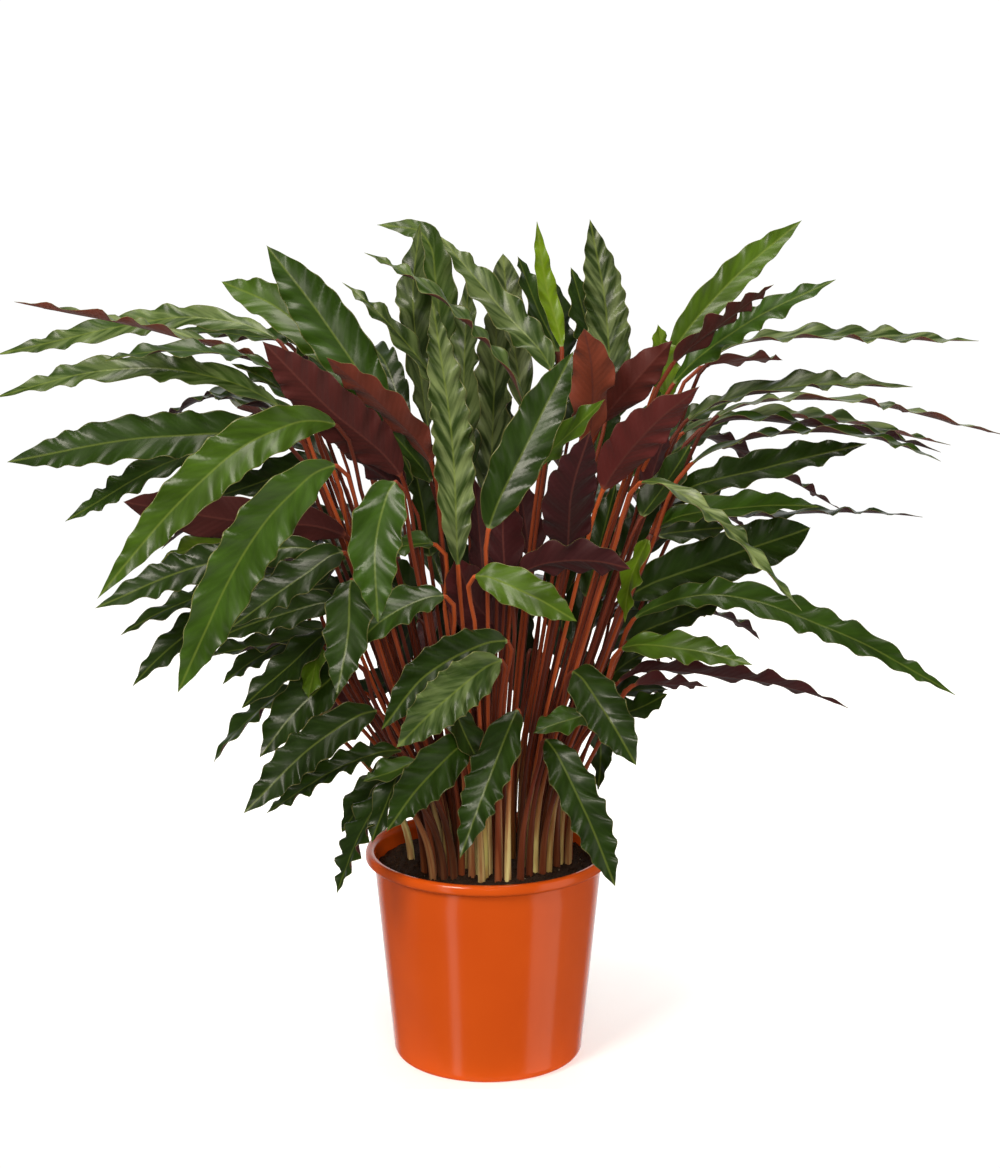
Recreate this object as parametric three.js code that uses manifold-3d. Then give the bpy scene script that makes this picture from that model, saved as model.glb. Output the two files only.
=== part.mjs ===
// Potted calathea: a clump of long wavy leaves on thin stalks, in a round plastic grower's pot.
// Millimetres, +Z up. The origin is the centre of the pot's underside, and -Y is the side shown.
import * as THREE from 'three';
import * as BufferGeometryUtils from 'three/addons/utils/BufferGeometryUtils.js';
import Module from 'manifold-3d';

// Pot
const POT_HEIGHT = 184;
const RIM_RADIUS = 105;
const RIM_BEAD_HEIGHT = 10;
const RIM_FULLEST_SHARE = 0.4;
const WALL_TOP_RADIUS = 97.5;
const WALL_BASE_RADIUS = 81.5;
const WALL_THICKNESS = 2;
const BASE_CORNER_RADIUS = 9;
const FLOOR_THICKNESS = 3;
const RECESS_OUTER_RADIUS = 58;
const RECESS_INNER_RADIUS = 22;
const RECESS_DEPTH = 1.5;
const DRAIN_HOLE_RADIUS = 5;
const DRAIN_HOLE_CIRCLE_RADIUS = 40;
const DRAIN_HOLE_COUNT = 8;
const POT_SIDES = 40;
const CURVE_STEPS = 3;
const DRAIN_HOLE_SIDES = 12;

// Soil
const SOIL_TOP = 168;
const SOIL_CROWN = 4;
const SOIL_SHOULDER_SHARE = 0.6;
const SOIL_SHOULDER_RISE = 0.7;
const SOIL_CLEARANCE = 0.35;
const SOCKET_CLEARANCE = 0.35;
const FOOT_DEPTH = 18;

// Leaves
const SHEATH_RADIUS = 3.3;
const STALK_RADIUS = 1.9;
const SHEATH_LENGTH = 110;
const BLADE_THICKNESS = 1.7;
const BLADE_TROUGH = 0.1;
const BLADE_FULLEST_AT = 0.36;
const TIP_SHARPNESS = 0.8;
const BLADE_INNER_SHARE = 0.3;
const TIP_HALF_WIDTH = 0.8;
const STALK_RINGS = 6;
const BLADE_RINGS = 7;
const SOCKET_RINGS = 3;
const LEAF_GAP = 0.5;
const FOOT_CIRCLE_RADIUS = 74;
const FOOT_SPACING = 7.2;
const FOOT_SEARCH_STEP = 1.1;
const FOOT_SEARCH_TRIES = 400;
const GOLDEN_ANGLE = Math.PI * (3 - Math.sqrt(5));
const FAN_LENGTH = 229;
const FAN_CURVE = 1.5;
const SETTLE_HEIGHT = 170;
const STRAIGHT_HEIGHT = 4;
const CROWNS = [[-42, -28], [20, -50], [66, -4], [-30, 38], [32, 42]];
const CROWN_PULL = 0.6;
const CROWN_REACH = 32;
const CROWN_LEAST_WEIGHT = 0.05;
const SHIFT_STEP = 5;
const SHIFT_TRIES = 36;

// Viewpoint that the leaf outlines were read from: a 1000 x 1168 picture, 13 degrees down
const EYE = new THREE.Vector3(10.3, -2287, 943);
const EYE_PITCH = THREE.MathUtils.degToRad(13);
const EYE_FOCAL = 2800;
const EYE_CENTRE = [500, 584];
const EYE_FORWARD = new THREE.Vector3(0, Math.cos(EYE_PITCH), -Math.sin(EYE_PITCH));
const EYE_UP = new THREE.Vector3(0, Math.sin(EYE_PITCH), Math.cos(EYE_PITCH));

// The point of the depth y that the viewpoint sees at the picture point (u, v)
function seenAt(u, v, y) {
  const ray = EYE_FORWARD.clone();
  ray.x += (u - EYE_CENTRE[0]) / EYE_FOCAL;
  ray.addScaledVector(EYE_UP, (EYE_CENTRE[1] - v) / EYE_FOCAL);
  return EYE.clone().addScaledVector(ray, (y - EYE.y) / ray.y);
}

// A leaf that the viewpoint shows. Its places run from the blade's neck over its bends to its tip.
// Each is a picture point u, v and the depth y in mm along +Y. The width is the blade's in mm, and
// the turn is its upper face's in degrees: 0 faces the viewer, 90 faces up and 180 faces away.
function shown(name, width, turn, ...places) {
  return { name, width, turn, bladeAt: (shift) => places.map(([u, v, y]) => seenAt(u, v, y + shift)) };
}

// A leaf of the far side, with its upper face up. Its places are x, y and z in mm.
function hidden(name, width, ...places) {
  return { name, width, bladeAt: (shift) => places.map(([x, y, z]) => new THREE.Vector3(x, y + shift, z)) };
}

const SHOWN_LEAVES = [
  shown('leaf_left_01', 34, 100, [290, 380, 60], [165, 330, 40], [15, 302, 20]),
  shown('leaf_left_02', 38, 68, [280, 342, 90], [200, 314, 100], [130, 320, 105], [-4, 355, 110]),
  shown('leaf_left_03', 40, 58, [285, 412, 0], [190, 372, -20], [95, 372, -30], [-5, 398, -40]),
  shown('leaf_left_04', 42, 12, [290, 447, -10], [160, 438, -40], [8, 462, -60]),
  shown('leaf_left_05', 38, 5, [337, 426, -80], [262, 441, -130], [180, 508, -180], [98, 598, -220]),
  shown('leaf_left_06', 38, 48, [300, 440, 10], [180, 458, 0], [66, 521, -10]),
  shown('leaf_left_07', 38, 158, [348, 538, -10], [230, 520, -40], [124, 502, -60]),
  shown('leaf_left_08', 42, 0, [337, 466, -110], [285, 500, -150], [240, 560, -190], [178, 692, -240]),
  shown('leaf_left_09', 34, 35, [325, 553, -30], [200, 566, -60], [96, 608, -80]),
  shown('leaf_left_10', 38, 28, [345, 553, -60], [300, 578, -90], [232, 627, -120]),
  shown('leaf_left_11', 36, 22, [358, 665, -50], [300, 707, -60], [260, 757, -70]),
  shown('leaf_left_12', 38, 15, [378, 712, -70], [318, 742, -110], [244, 813, -140]),
  shown('leaf_left_13', 32, 52, [402, 752, -50], [345, 765, -80], [267, 813, -110]),
  shown('leaf_left_14', 26, 45, [396, 780, -80], [362, 830, -104], [337, 893, -116]),
  shown('leaf_top_01', 45, 5, [385, 420, 0], [325, 322, 20], [267, 246, 40]),
  shown('leaf_top_02', 38, 22, [345, 380, 40], [285, 318, 60], [222, 282, 90]),
  shown('leaf_inner_01', 42, 168, [402, 478, -40], [325, 405, -90], [263, 342, -120]),
  shown('leaf_inner_02', 34, 132, [432, 465, -20], [382, 405, -60], [327, 358, -90]),
  shown('leaf_top_03', 38, 42, [428, 430, 20], [413, 300, 60], [420, 224, 80]),
  shown('leaf_top_04', 38, 15, [447, 420, 60], [437, 290, 110], [424, 232, 125], [378, 225, 132]),
  shown('leaf_top_05', 36, 28, [552, 373, 30], [498, 298, 60], [441, 237, 90]),
  shown('leaf_top_06', 38, 20, [490, 510, 60], [494, 400, 100], [498, 288, 120]),
  shown('leaf_top_07', 38, 8, [458, 567, -50], [452, 440, -20], [432, 300, 20]),
  shown('leaf_top_08', 38, 15, [522, 410, 90], [508, 310, 130], [503, 254, 150]),
  shown('leaf_top_09', 36, 22, [607, 412, 60], [606, 310, 90], [590, 220, 110]),
  shown('leaf_inner_03', 36, 160, [588, 445, -10], [592, 370, -40], [584, 329, -60]),
  shown('leaf_inner_04', 40, 5, [488, 532, -90], [530, 438, -80], [573, 352, -60]),
  shown('leaf_inner_05', 42, 176, [566, 562, -60], [572, 490, -110], [590, 432, -140]),
  shown('leaf_inner_06', 40, 162, [602, 492, -50], [650, 428, -90], [699, 387, -120]),
  shown('leaf_front_01', 38, 5, [470, 742, -90], [420, 786, -130], [387, 831, -160]),
  shown('leaf_front_02', 40, 0, [502, 661, -120], [442, 703, -160], [397, 747, -190]),
  shown('leaf_front_03', 38, 10, [508, 642, -90], [430, 672, -130], [382, 729, -160]),
  shown('leaf_front_04', 36, 18, [518, 710, -90], [488, 782, -130], [460, 858, -150]),
  shown('leaf_front_05', 37, 8, [545, 740, -80], [585, 812, -130], [615, 886, -150]),
  shown('leaf_front_06', 40, 0, [572, 672, -70], [606, 714, -110], [636, 765, -130]),
  shown('leaf_front_07', 33, 25, [474, 577, -130], [528, 594, -150], [576, 621, -160]),
  shown('leaf_front_08', 42, 174, [500, 638, -60], [473, 600, -90], [456, 558, -110]),
  shown('leaf_front_09', 41, 0, [396, 482, -120], [376, 540, -160], [378, 622, -180]),
  shown('leaf_front_10', 38, 10, [352, 580, -100], [348, 635, -140], [337, 694, -160]),
  shown('leaf_right_01', 35, 10, [668, 360, 40], [725, 292, 70], [801, 221, 90]),
  shown('leaf_right_02', 35, 48, [672, 386, -10], [745, 327, -20], [835, 280, -30]),
  shown('leaf_right_03', 36, 68, [715, 355, 50], [800, 334, 60], [978, 341, 70]),
  shown('leaf_right_04', 38, 60, [685, 422, 30], [790, 387, 30], [912, 387, 20]),
  shown('leaf_right_05', 38, 64, [715, 418, -30], [830, 399, -50], [1004, 435, -70]),
  shown('leaf_right_06', 38, 66, [680, 435, 60], [800, 417, 70], [950, 445, 80]),
  shown('leaf_right_07', 36, 42, [670, 500, -20], [770, 467, -40], [866, 444, -50]),
  shown('leaf_right_08', 34, 46, [640, 483, -110], [715, 518, -170], [801, 610, -220]),
  shown('leaf_right_09', 42, 0, [625, 600, 30], [720, 556, 40], [810, 528, 50]),
  shown('leaf_right_10', 36, 46, [633, 620, -20], [720, 584, -30], [850, 625, -60], [955, 695, -80]),
  shown('leaf_right_11', 32, 48, [620, 650, -60], [690, 650, -90], [752, 665, -110]),
];

const HIDDEN_LEAVES = [
  hidden('leaf_back_01', 40, [-150, 120, 500], [-230, 190, 545], [-310, 260, 505]),
  hidden('leaf_back_02', 42, [-70, 130, 520], [-100, 215, 580], [-135, 300, 560]),
  hidden('leaf_back_03', 40, [35, 140, 480], [50, 235, 525], [60, 325, 470]),
  hidden('leaf_back_04', 42, [110, 130, 530], [160, 205, 590], [215, 275, 575]),
  hidden('leaf_back_05', 40, [165, 115, 440], [245, 180, 475], [325, 235, 430]),
  hidden('leaf_back_06', 38, [-120, 120, 390], [-175, 200, 405], [-215, 275, 330]),
  hidden('leaf_back_07', 38, [-30, 120, 350], [-45, 200, 350], [-60, 270, 270]),
  hidden('leaf_back_08', 38, [80, 115, 340], [125, 190, 350], [160, 250, 280]),
];

const wasm = await Module();
wasm.setup();

function toManifold(source) {
  const geometry = source.clone();
  geometry.deleteAttribute('normal');
  geometry.deleteAttribute('uv');
  const merged = BufferGeometryUtils.mergeVertices(geometry, 1e-4);
  const vertProperties = new Float32Array(merged.attributes.position.array);
  const triVerts = new Uint32Array(merged.index.array);
  return new wasm.Manifold(new wasm.Mesh({ numProp: 3, vertProperties, triVerts }));
}

function toGeometry(solid) {
  const mesh = solid.getMesh();
  const geometry = new THREE.BufferGeometry();
  geometry.setAttribute('position', new THREE.BufferAttribute(new Float32Array(mesh.vertProperties), 3));
  geometry.setIndex(new THREE.BufferAttribute(new Uint32Array(mesh.triVerts), 1));
  geometry.computeVertexNormals();
  return geometry;
}

function named(name, geometry, color, roughness) {
  const mesh = new THREE.Mesh(geometry, new THREE.MeshStandardMaterial({ color, roughness, metalness: 0 }));
  mesh.name = name;
  return mesh;
}

// Solid turned about the pot's axis from an outline that starts and ends on the axis, bottom first
function turned(outline) {
  return toManifold(new THREE.LatheGeometry(outline, POT_SIDES).rotateX(Math.PI / 2));
}

// Radius of the pot's outer wall at a height
function outerRadius(z) {
  const share = (z - BASE_CORNER_RADIUS) / (POT_HEIGHT - RIM_BEAD_HEIGHT - BASE_CORNER_RADIUS);
  return THREE.MathUtils.lerp(WALL_BASE_RADIUS, WALL_TOP_RADIUS, Math.max(share, 0));
}

// Foot ring and middle pad in one plane, a rounded corner, a tapered wall and a rolled rim
function potOutline() {
  const outline = new THREE.Path();
  const underRim = POT_HEIGHT - RIM_BEAD_HEIGHT;
  const rimMiddle = (RIM_RADIUS + WALL_TOP_RADIUS) / 2;
  const rimBulge = underRim + RIM_BEAD_HEIGHT * RIM_FULLEST_SHARE;
  const innerTop = WALL_TOP_RADIUS - WALL_THICKNESS;
  const innerBase = outerRadius(FLOOR_THICKNESS) - WALL_THICKNESS;
  outline.moveTo(0, 0);
  outline.lineTo(RECESS_INNER_RADIUS, 0);
  outline.lineTo(RECESS_INNER_RADIUS + RECESS_DEPTH, RECESS_DEPTH);
  outline.lineTo(RECESS_OUTER_RADIUS - RECESS_DEPTH, RECESS_DEPTH);
  outline.lineTo(RECESS_OUTER_RADIUS, 0);
  outline.lineTo(WALL_BASE_RADIUS - BASE_CORNER_RADIUS, 0);
  outline.quadraticCurveTo(WALL_BASE_RADIUS, 0, WALL_BASE_RADIUS, BASE_CORNER_RADIUS);
  outline.lineTo(WALL_TOP_RADIUS, underRim);
  outline.quadraticCurveTo(RIM_RADIUS, underRim, RIM_RADIUS, rimBulge);
  outline.quadraticCurveTo(RIM_RADIUS, POT_HEIGHT, rimMiddle, POT_HEIGHT);
  outline.quadraticCurveTo(innerTop, POT_HEIGHT, innerTop, underRim);
  outline.lineTo(innerBase, BASE_CORNER_RADIUS);
  outline.quadraticCurveTo(innerBase, FLOOR_THICKNESS, innerBase - BASE_CORNER_RADIUS, FLOOR_THICKNESS);
  outline.lineTo(0, FLOOR_THICKNESS);
  return outline.getPoints(CURVE_STEPS);
}

function drainHole(index) {
  const angle = ((index + 0.5) * 2 * Math.PI) / DRAIN_HOLE_COUNT;
  const height = 4 * FLOOR_THICKNESS;
  const hole = new THREE.CylinderGeometry(DRAIN_HOLE_RADIUS, DRAIN_HOLE_RADIUS, height, DRAIN_HOLE_SIDES);
  hole.rotateX(Math.PI / 2);
  hole.translate(DRAIN_HOLE_CIRCLE_RADIUS * Math.cos(angle), DRAIN_HOLE_CIRCLE_RADIUS * Math.sin(angle), 0);
  return toManifold(hole);
}

function makePot() {
  let solid = turned(potOutline());
  for (let i = 0; i < DRAIN_HOLE_COUNT; i += 1) {
    solid = solid.subtract(drainHole(i));
  }
  return named('pot', toGeometry(solid), 0xc94e17, 0.25);
}

// The soil fills the pot to a low crown, with a socket round each leaf's foot
function makeSoil(sockets) {
  const inset = WALL_THICKNESS + 2 * SOIL_CLEARANCE;
  const low = FLOOR_THICKNESS + SOIL_CLEARANCE;
  const top = outerRadius(SOIL_TOP) - inset;
  const outline = [
    new THREE.Vector2(0, low),
    new THREE.Vector2(outerRadius(low) - inset - BASE_CORNER_RADIUS, low),
    new THREE.Vector2(outerRadius(BASE_CORNER_RADIUS) - inset, BASE_CORNER_RADIUS + 2),
    new THREE.Vector2(top, SOIL_TOP),
    new THREE.Vector2(top * SOIL_SHOULDER_SHARE, SOIL_TOP + SOIL_CROWN * SOIL_SHOULDER_RISE),
    new THREE.Vector2(0, SOIL_TOP + SOIL_CROWN),
  ];
  let solid = turned(outline);
  sockets.forEach((socket) => {
    solid = solid.subtract(socket);
  });
  return named('soil', toGeometry(solid), 0x23140c, 0.95);
}

function centreOf(points) {
  const centre = new THREE.Vector3();
  points.forEach((point) => centre.addScaledVector(point, 1 / points.length));
  return centre;
}

// Closed body through rings of equal size, with its first and last rings filled by a fan
function loftRings(rings) {
  const count = rings[0].length;
  const end = (rings.length - 1) * count;
  const points = rings.flat();
  const first = points.push(centreOf(rings[0])) - 1;
  const last = points.push(centreOf(rings[rings.length - 1])) - 1;
  const triangles = [];
  for (let i = 0; i < count; i += 1) {
    const j = (i + 1) % count;
    triangles.push(first, j, i);
    for (let here = 0; here < end; here += count) {
      const next = here + count;
      triangles.push(here + i, here + j, next + j);
      triangles.push(here + i, next + j, next + i);
    }
    triangles.push(last, end + i, end + j);
  }
  const geometry = new THREE.BufferGeometry();
  const numbers = points.flatMap((point) => point.toArray());
  geometry.setAttribute('position', new THREE.Float32BufferAttribute(numbers, 3));
  geometry.setIndex(triangles);
  return geometry;
}

// How far the fan of stalks has spread at a height, against its spread at the soil
function fanAt(z) {
  return 1 + ((z - SOIL_TOP) / FAN_LENGTH) ** FAN_CURVE;
}

function spreadOf(neck) {
  return new THREE.Vector2(neck.x, neck.y).divideScalar(fanAt(neck.z));
}

// Where a stalk enters the soil: under its place in the fan, drawn to the nearest crowns
function footFor(spread) {
  const pull = new THREE.Vector2();
  let total = CROWN_LEAST_WEIGHT;
  CROWNS.forEach(([x, y]) => {
    const crown = new THREE.Vector2(x, y);
    const weight = Math.exp(-crown.distanceToSquared(spread) / (2 * CROWN_REACH ** 2));
    pull.addScaledVector(crown.sub(spread), weight);
    total += weight;
  });
  return spread.clone().addScaledVector(pull, CROWN_PULL / total).clampLength(0, FOOT_CIRCLE_RADIUS);
}

// The nearest spot to the wanted one that keeps clear of the feet already placed
function freeFoot(wanted, feet) {
  for (let i = 0; i < FOOT_SEARCH_TRIES; i += 1) {
    const radius = FOOT_SEARCH_STEP * Math.sqrt(i);
    const angle = i * GOLDEN_ANGLE;
    const spot = new THREE.Vector2(radius * Math.cos(angle), radius * Math.sin(angle)).add(wanted);
    const clear = feet.every((other) => other.distanceTo(spot) >= FOOT_SPACING);
    if (clear && spot.length() <= FOOT_CIRCLE_RADIUS + FOOT_SPACING / 2) return spot;
  }
  throw new Error('no free spot for a foot');
}

// Points of a stalk: straight up out of the soil, then out in the fan towards the blade's neck
function stalkPoints(neck, foot) {
  const spread = spreadOf(neck);
  const rise = neck.z - SOIL_TOP;
  const points = [new THREE.Vector3(foot.x, foot.y, SOIL_TOP - FOOT_DEPTH)];
  for (let i = 1; i < STALK_RINGS - 1; i += 1) {
    const height = STRAIGHT_HEIGHT + ((rise - STRAIGHT_HEIGHT) * i) / (STALK_RINGS - 1);
    const fan = fanAt(SOIL_TOP + height);
    const settled = THREE.MathUtils.smoothstep(height, 0, Math.min(rise, SETTLE_HEIGHT));
    const x = THREE.MathUtils.lerp(foot.x, spread.x * fan, settled);
    const y = THREE.MathUtils.lerp(foot.y, spread.y * fan, settled);
    points.push(new THREE.Vector3(x, y, SOIL_TOP + height));
  }
  return points;
}

// Normal of the upper face at a midrib point, which is upwards where no turn is given
function upperNormal(point, tangent, turn) {
  if (turn === undefined) {
    return new THREE.Vector3(0, 0, 1).addScaledVector(tangent, -tangent.z).normalize();
  }
  const towards = EYE.clone().sub(point);
  towards.addScaledVector(tangent, -towards.dot(tangent)).normalize();
  const side = new THREE.Vector3().crossVectors(tangent, towards).normalize();
  if (side.z < 0) side.negate();
  const angle = THREE.MathUtils.degToRad(turn);
  return towards.multiplyScalar(Math.cos(angle)).addScaledVector(side, Math.sin(angle));
}

// Half width of the blade at a share of its length, from nothing at the neck to nothing at the tip
function halfWidth(width, share) {
  const rise = (TIP_SHARPNESS * BLADE_FULLEST_AT) / (1 - BLADE_FULLEST_AT);
  const profile = (at) => at ** rise * (1 - at) ** TIP_SHARPNESS;
  return Math.max(((width / 2) * profile(share)) / profile(BLADE_FULLEST_AT), TIP_HALF_WIDTH);
}

// Ring of places [across, up] round a midrib point
function ringAt({ point, tangent, normal }, shape) {
  const across = new THREE.Vector3().crossVectors(normal, tangent).normalize();
  const up = new THREE.Vector3().crossVectors(tangent, across).normalize();
  return shape.map(([x, y]) => point.clone().addScaledVector(across, x).addScaledVector(up, y));
}

function stalkRing(frame, radius) {
  const corners = [0, 1, 2, 3, 4, 5].map((i) => (i * Math.PI) / 3);
  return ringAt(frame, corners.map((angle) => [radius * Math.cos(angle), radius * Math.sin(angle)]));
}

// A shallow trough: its edges stand higher than its midrib
function bladeRing(frame, half) {
  const thick = BLADE_THICKNESS / 2;
  const edge = half * 2 * BLADE_TROUGH;
  const inner = half * BLADE_INNER_SHARE;
  const above = [[half, edge], [inner, thick], [-inner, thick]];
  const below = [[-half, edge], [-inner, -thick], [inner, -thick]];
  return ringAt(frame, [...above, ...below]);
}

// Rings of one leaf from its foot to its tip, made larger all round by grow
function leafRings(blade, foot, leaf, grow) {
  const stalk = stalkPoints(blade[0], foot);
  const curve = new THREE.CatmullRomCurve3([...stalk, ...blade], false, 'centripetal');
  const neckAt = stalk.length / (stalk.length + blade.length - 1);
  const placeAt = (at) => ({ point: curve.getPoint(at), tangent: curve.getTangent(at) });
  const rings = [];
  for (let i = 1; i <= BLADE_RINGS; i += 1) {
    const share = i / BLADE_RINGS;
    const frame = placeAt(neckAt + (1 - neckAt) * share);
    frame.normal = upperNormal(frame.point, frame.tangent, leaf.turn);
    rings.push(bladeRing(frame, halfWidth(leaf.width, share) + grow));
  }
  const neck = placeAt(neckAt);
  const normal = upperNormal(neck.point, neck.tangent, leaf.turn);
  for (let i = STALK_RINGS; i >= 0; i -= 1) {
    const frame = placeAt((neckAt * i) / STALK_RINGS);
    normal.addScaledVector(frame.tangent, -normal.dot(frame.tangent)).normalize();
    frame.normal = normal;
    const high = THREE.MathUtils.smoothstep(frame.point.z - SOIL_TOP, 0, SHEATH_LENGTH);
    rings.unshift(stalkRing(frame, THREE.MathUtils.lerp(SHEATH_RADIUS, STALK_RADIUS, high) + grow));
  }
  return rings;
}

// The hole that a leaf's foot needs in the soil
function socketFor(blade, foot, leaf) {
  const rings = leafRings(blade, foot, leaf, SOCKET_CLEARANCE).slice(0, SOCKET_RINGS);
  rings[0].forEach((point) => {
    point.z -= SOCKET_CLEARANCE;
  });
  return toManifold(loftRings(rings));
}

function farApart(one, other, gap) {
  const a = one.boundingBox();
  const b = other.boundingBox();
  const apart = [0, 1, 2].some((k) => a.min[k] > b.max[k] + gap || b.min[k] > a.max[k] + gap);
  return apart || one.minGap(other, gap) >= gap;
}

// Slides a leaf along the lines of sight until it keeps clear of everything placed before it
function placeLeaf(leaf, solids, feet) {
  for (let i = 0; i < SHIFT_TRIES; i += 1) {
    const side = i % 2 ? 1 : -1;
    const blade = leaf.bladeAt(side * SHIFT_STEP * Math.ceil(i / 2));
    const foot = freeFoot(footFor(spreadOf(blade[0])), feet);
    const geometry = loftRings(leafRings(blade, foot, leaf, 0));
    const solid = toManifold(geometry);
    if (solids.every((other) => farApart(solid, other, LEAF_GAP))) {
      return { geometry, solid, foot, socket: socketFor(blade, foot, leaf) };
    }
  }
  throw new Error(`no clear place for ${leaf.name}`);
}

const plant = new THREE.Group();
const pot = makePot();
plant.add(pot);
const solids = [toManifold(pot.geometry)];
const feet = [];
const sockets = [];
for (const leaf of [...SHOWN_LEAVES, ...HIDDEN_LEAVES]) {
  const { geometry, solid, foot, socket } = placeLeaf(leaf, solids, feet);
  solids.push(solid);
  feet.push(foot);
  sockets.push(socket);
  geometry.computeVertexNormals();
  plant.add(named(leaf.name, geometry, 0x31501d, 0.4));
}
plant.add(makeSoil(sockets));

export default plant;
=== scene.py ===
# Potted calathea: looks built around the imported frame, in metres, +Z up, -Y the side shown.
import math
import random

import bpy
import numpy as np
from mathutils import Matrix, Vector, noise
from mathutils.bvhtree import BVHTree


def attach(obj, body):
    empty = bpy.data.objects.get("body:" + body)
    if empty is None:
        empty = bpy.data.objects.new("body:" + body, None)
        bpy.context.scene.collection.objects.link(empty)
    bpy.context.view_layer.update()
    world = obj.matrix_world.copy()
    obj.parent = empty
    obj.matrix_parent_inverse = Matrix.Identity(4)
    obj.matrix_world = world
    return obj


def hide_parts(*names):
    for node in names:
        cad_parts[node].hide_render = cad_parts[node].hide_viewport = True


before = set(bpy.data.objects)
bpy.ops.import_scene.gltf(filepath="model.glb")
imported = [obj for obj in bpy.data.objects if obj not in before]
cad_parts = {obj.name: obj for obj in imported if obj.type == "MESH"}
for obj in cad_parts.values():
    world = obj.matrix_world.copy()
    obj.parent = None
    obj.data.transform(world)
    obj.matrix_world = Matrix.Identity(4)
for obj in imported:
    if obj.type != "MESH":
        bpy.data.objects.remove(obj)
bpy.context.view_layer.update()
MM = 0.001


# Camera. It stands 2.3 m in front of the pot and looks 13 degrees down through a long lens,
# which is how the pot's rim and base read in the picture. Picture points u, v are in its frame.
PICTURE_WIDTH, PICTURE_HEIGHT = 1000, 1168
EYE = np.array([10.3, -2287.0, 943.0]) * MM
EYE_PITCH = math.radians(13)
EYE_FOCAL = 2800
SENSOR = 36

lens = bpy.data.cameras.new("camera")
lens.sensor_width = SENSOR
lens.lens = EYE_FOCAL / PICTURE_HEIGHT * SENSOR
camera = bpy.data.objects.new("camera", lens)
camera.location = EYE
camera.rotation_euler = (math.pi / 2 - EYE_PITCH, 0, 0)
bpy.context.collection.objects.link(camera)
bpy.context.scene.camera = camera


# Studio: a white table top, a backdrop that is white behind the plant and dim behind the camera,
# and tall soft lamps. The table is left out of every mirroring, so that the pot mirrors the dim
# room and keeps its deep orange, while the white behind pales its two edges.
def linear(code):
    """A colour code such as "c8501a" as linear red, green, blue and alpha."""
    parts = [int(code[i : i + 2], 16) / 255 for i in (0, 2, 4)]
    return [c / 12.92 if c <= 0.04045 else ((c + 0.055) / 1.055) ** 2.4 for c in parts] + [1]


def add(tree, kind, sockets=None, **settings):
    """Adds a node. sockets gives each input a value, or an output to link it to."""
    node = tree.nodes.new("ShaderNode" + kind)
    for name, value in settings.items():
        setattr(node, name, value)
    for name, value in (sockets or {}).items():
        if isinstance(value, bpy.types.NodeSocket):
            tree.links.new(value, node.inputs[name])
        else:
            node.inputs[name].default_value = value
    return node


def new_material(name):
    """An empty material and its node tree."""
    material = bpy.data.materials.new(name)
    material.use_nodes = True
    material.node_tree.nodes.clear()
    return material, material.node_tree


FLOOR_LEFT, FLOOR_RIGHT, FLOOR_FRONT, FLOOR_BACK = -1.5, 1.5, -0.09, 1.7
FLOOR_WHITE = "fbfbfa"
SKY_BEHIND, SKY_BEFORE, SKY_SEEN = 1.05, 0.09, 1.05
WHITE_FROM, WHITE_FULL = 0.7, 0.92
WHITE_TOP_FROM, WHITE_TOP_END = 0.25, 0.65

bpy.context.scene.view_settings.view_transform = "Standard"

sky = bpy.data.worlds.new("studio_sky")
sky.use_nodes = True
sky.node_tree.nodes.clear()
direction = add(sky.node_tree, "TexCoord").outputs["Generated"]
_, depth, rise = add(sky.node_tree, "SeparateXYZ", {0: direction}).outputs
behind = add(
    sky.node_tree, "MapRange", {"Value": depth, "From Min": WHITE_FROM, "From Max": WHITE_FULL}
).outputs[0]
low = add(
    sky.node_tree, "MapRange", {"Value": rise, "From Min": WHITE_TOP_END, "From Max": WHITE_TOP_FROM}
).outputs[0]
white = add(sky.node_tree, "Math", {0: behind, 1: low}, operation="MULTIPLY").outputs[0]
strength = add(
    sky.node_tree, "MapRange", {"Value": white, "To Min": SKY_BEFORE, "To Max": SKY_BEHIND}
).outputs[0]
seen = add(sky.node_tree, "LightPath").outputs["Is Camera Ray"]
seen = add(sky.node_tree, "Math", {0: seen, 1: SKY_SEEN}, operation="MULTIPLY").outputs[0]
strength = add(sky.node_tree, "Math", {0: strength, 1: seen}, operation="MAXIMUM").outputs[0]
backing = add(sky.node_tree, "Background", {"Color": (1, 1, 1, 1), "Strength": strength})
add(sky.node_tree, "OutputWorld", {"Surface": backing.outputs[0]})
bpy.context.scene.world = sky

floor_mesh = bpy.data.meshes.new("floor")
front = [(FLOOR_LEFT, FLOOR_FRONT, 0), (FLOOR_RIGHT, FLOOR_FRONT, 0)]
back = [(FLOOR_RIGHT, FLOOR_BACK, 0), (FLOOR_LEFT, FLOOR_BACK, 0)]
floor_mesh.from_pydata(front + back, [], [(0, 1, 2, 3)])
floor = bpy.data.objects.new("floor", floor_mesh)
bpy.context.collection.objects.link(floor)
# White lacquered board: an even white without gloss
floor_paint, tree = new_material("white_lacquered_board")
shader = add(tree, "BsdfPrincipled", {"Base Color": linear(FLOOR_WHITE), "Roughness": 0.8})
add(tree, "OutputMaterial", {"Surface": shader.outputs[0]})
floor_mesh.materials.append(floor_paint)
floor.visible_glossy = False

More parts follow.
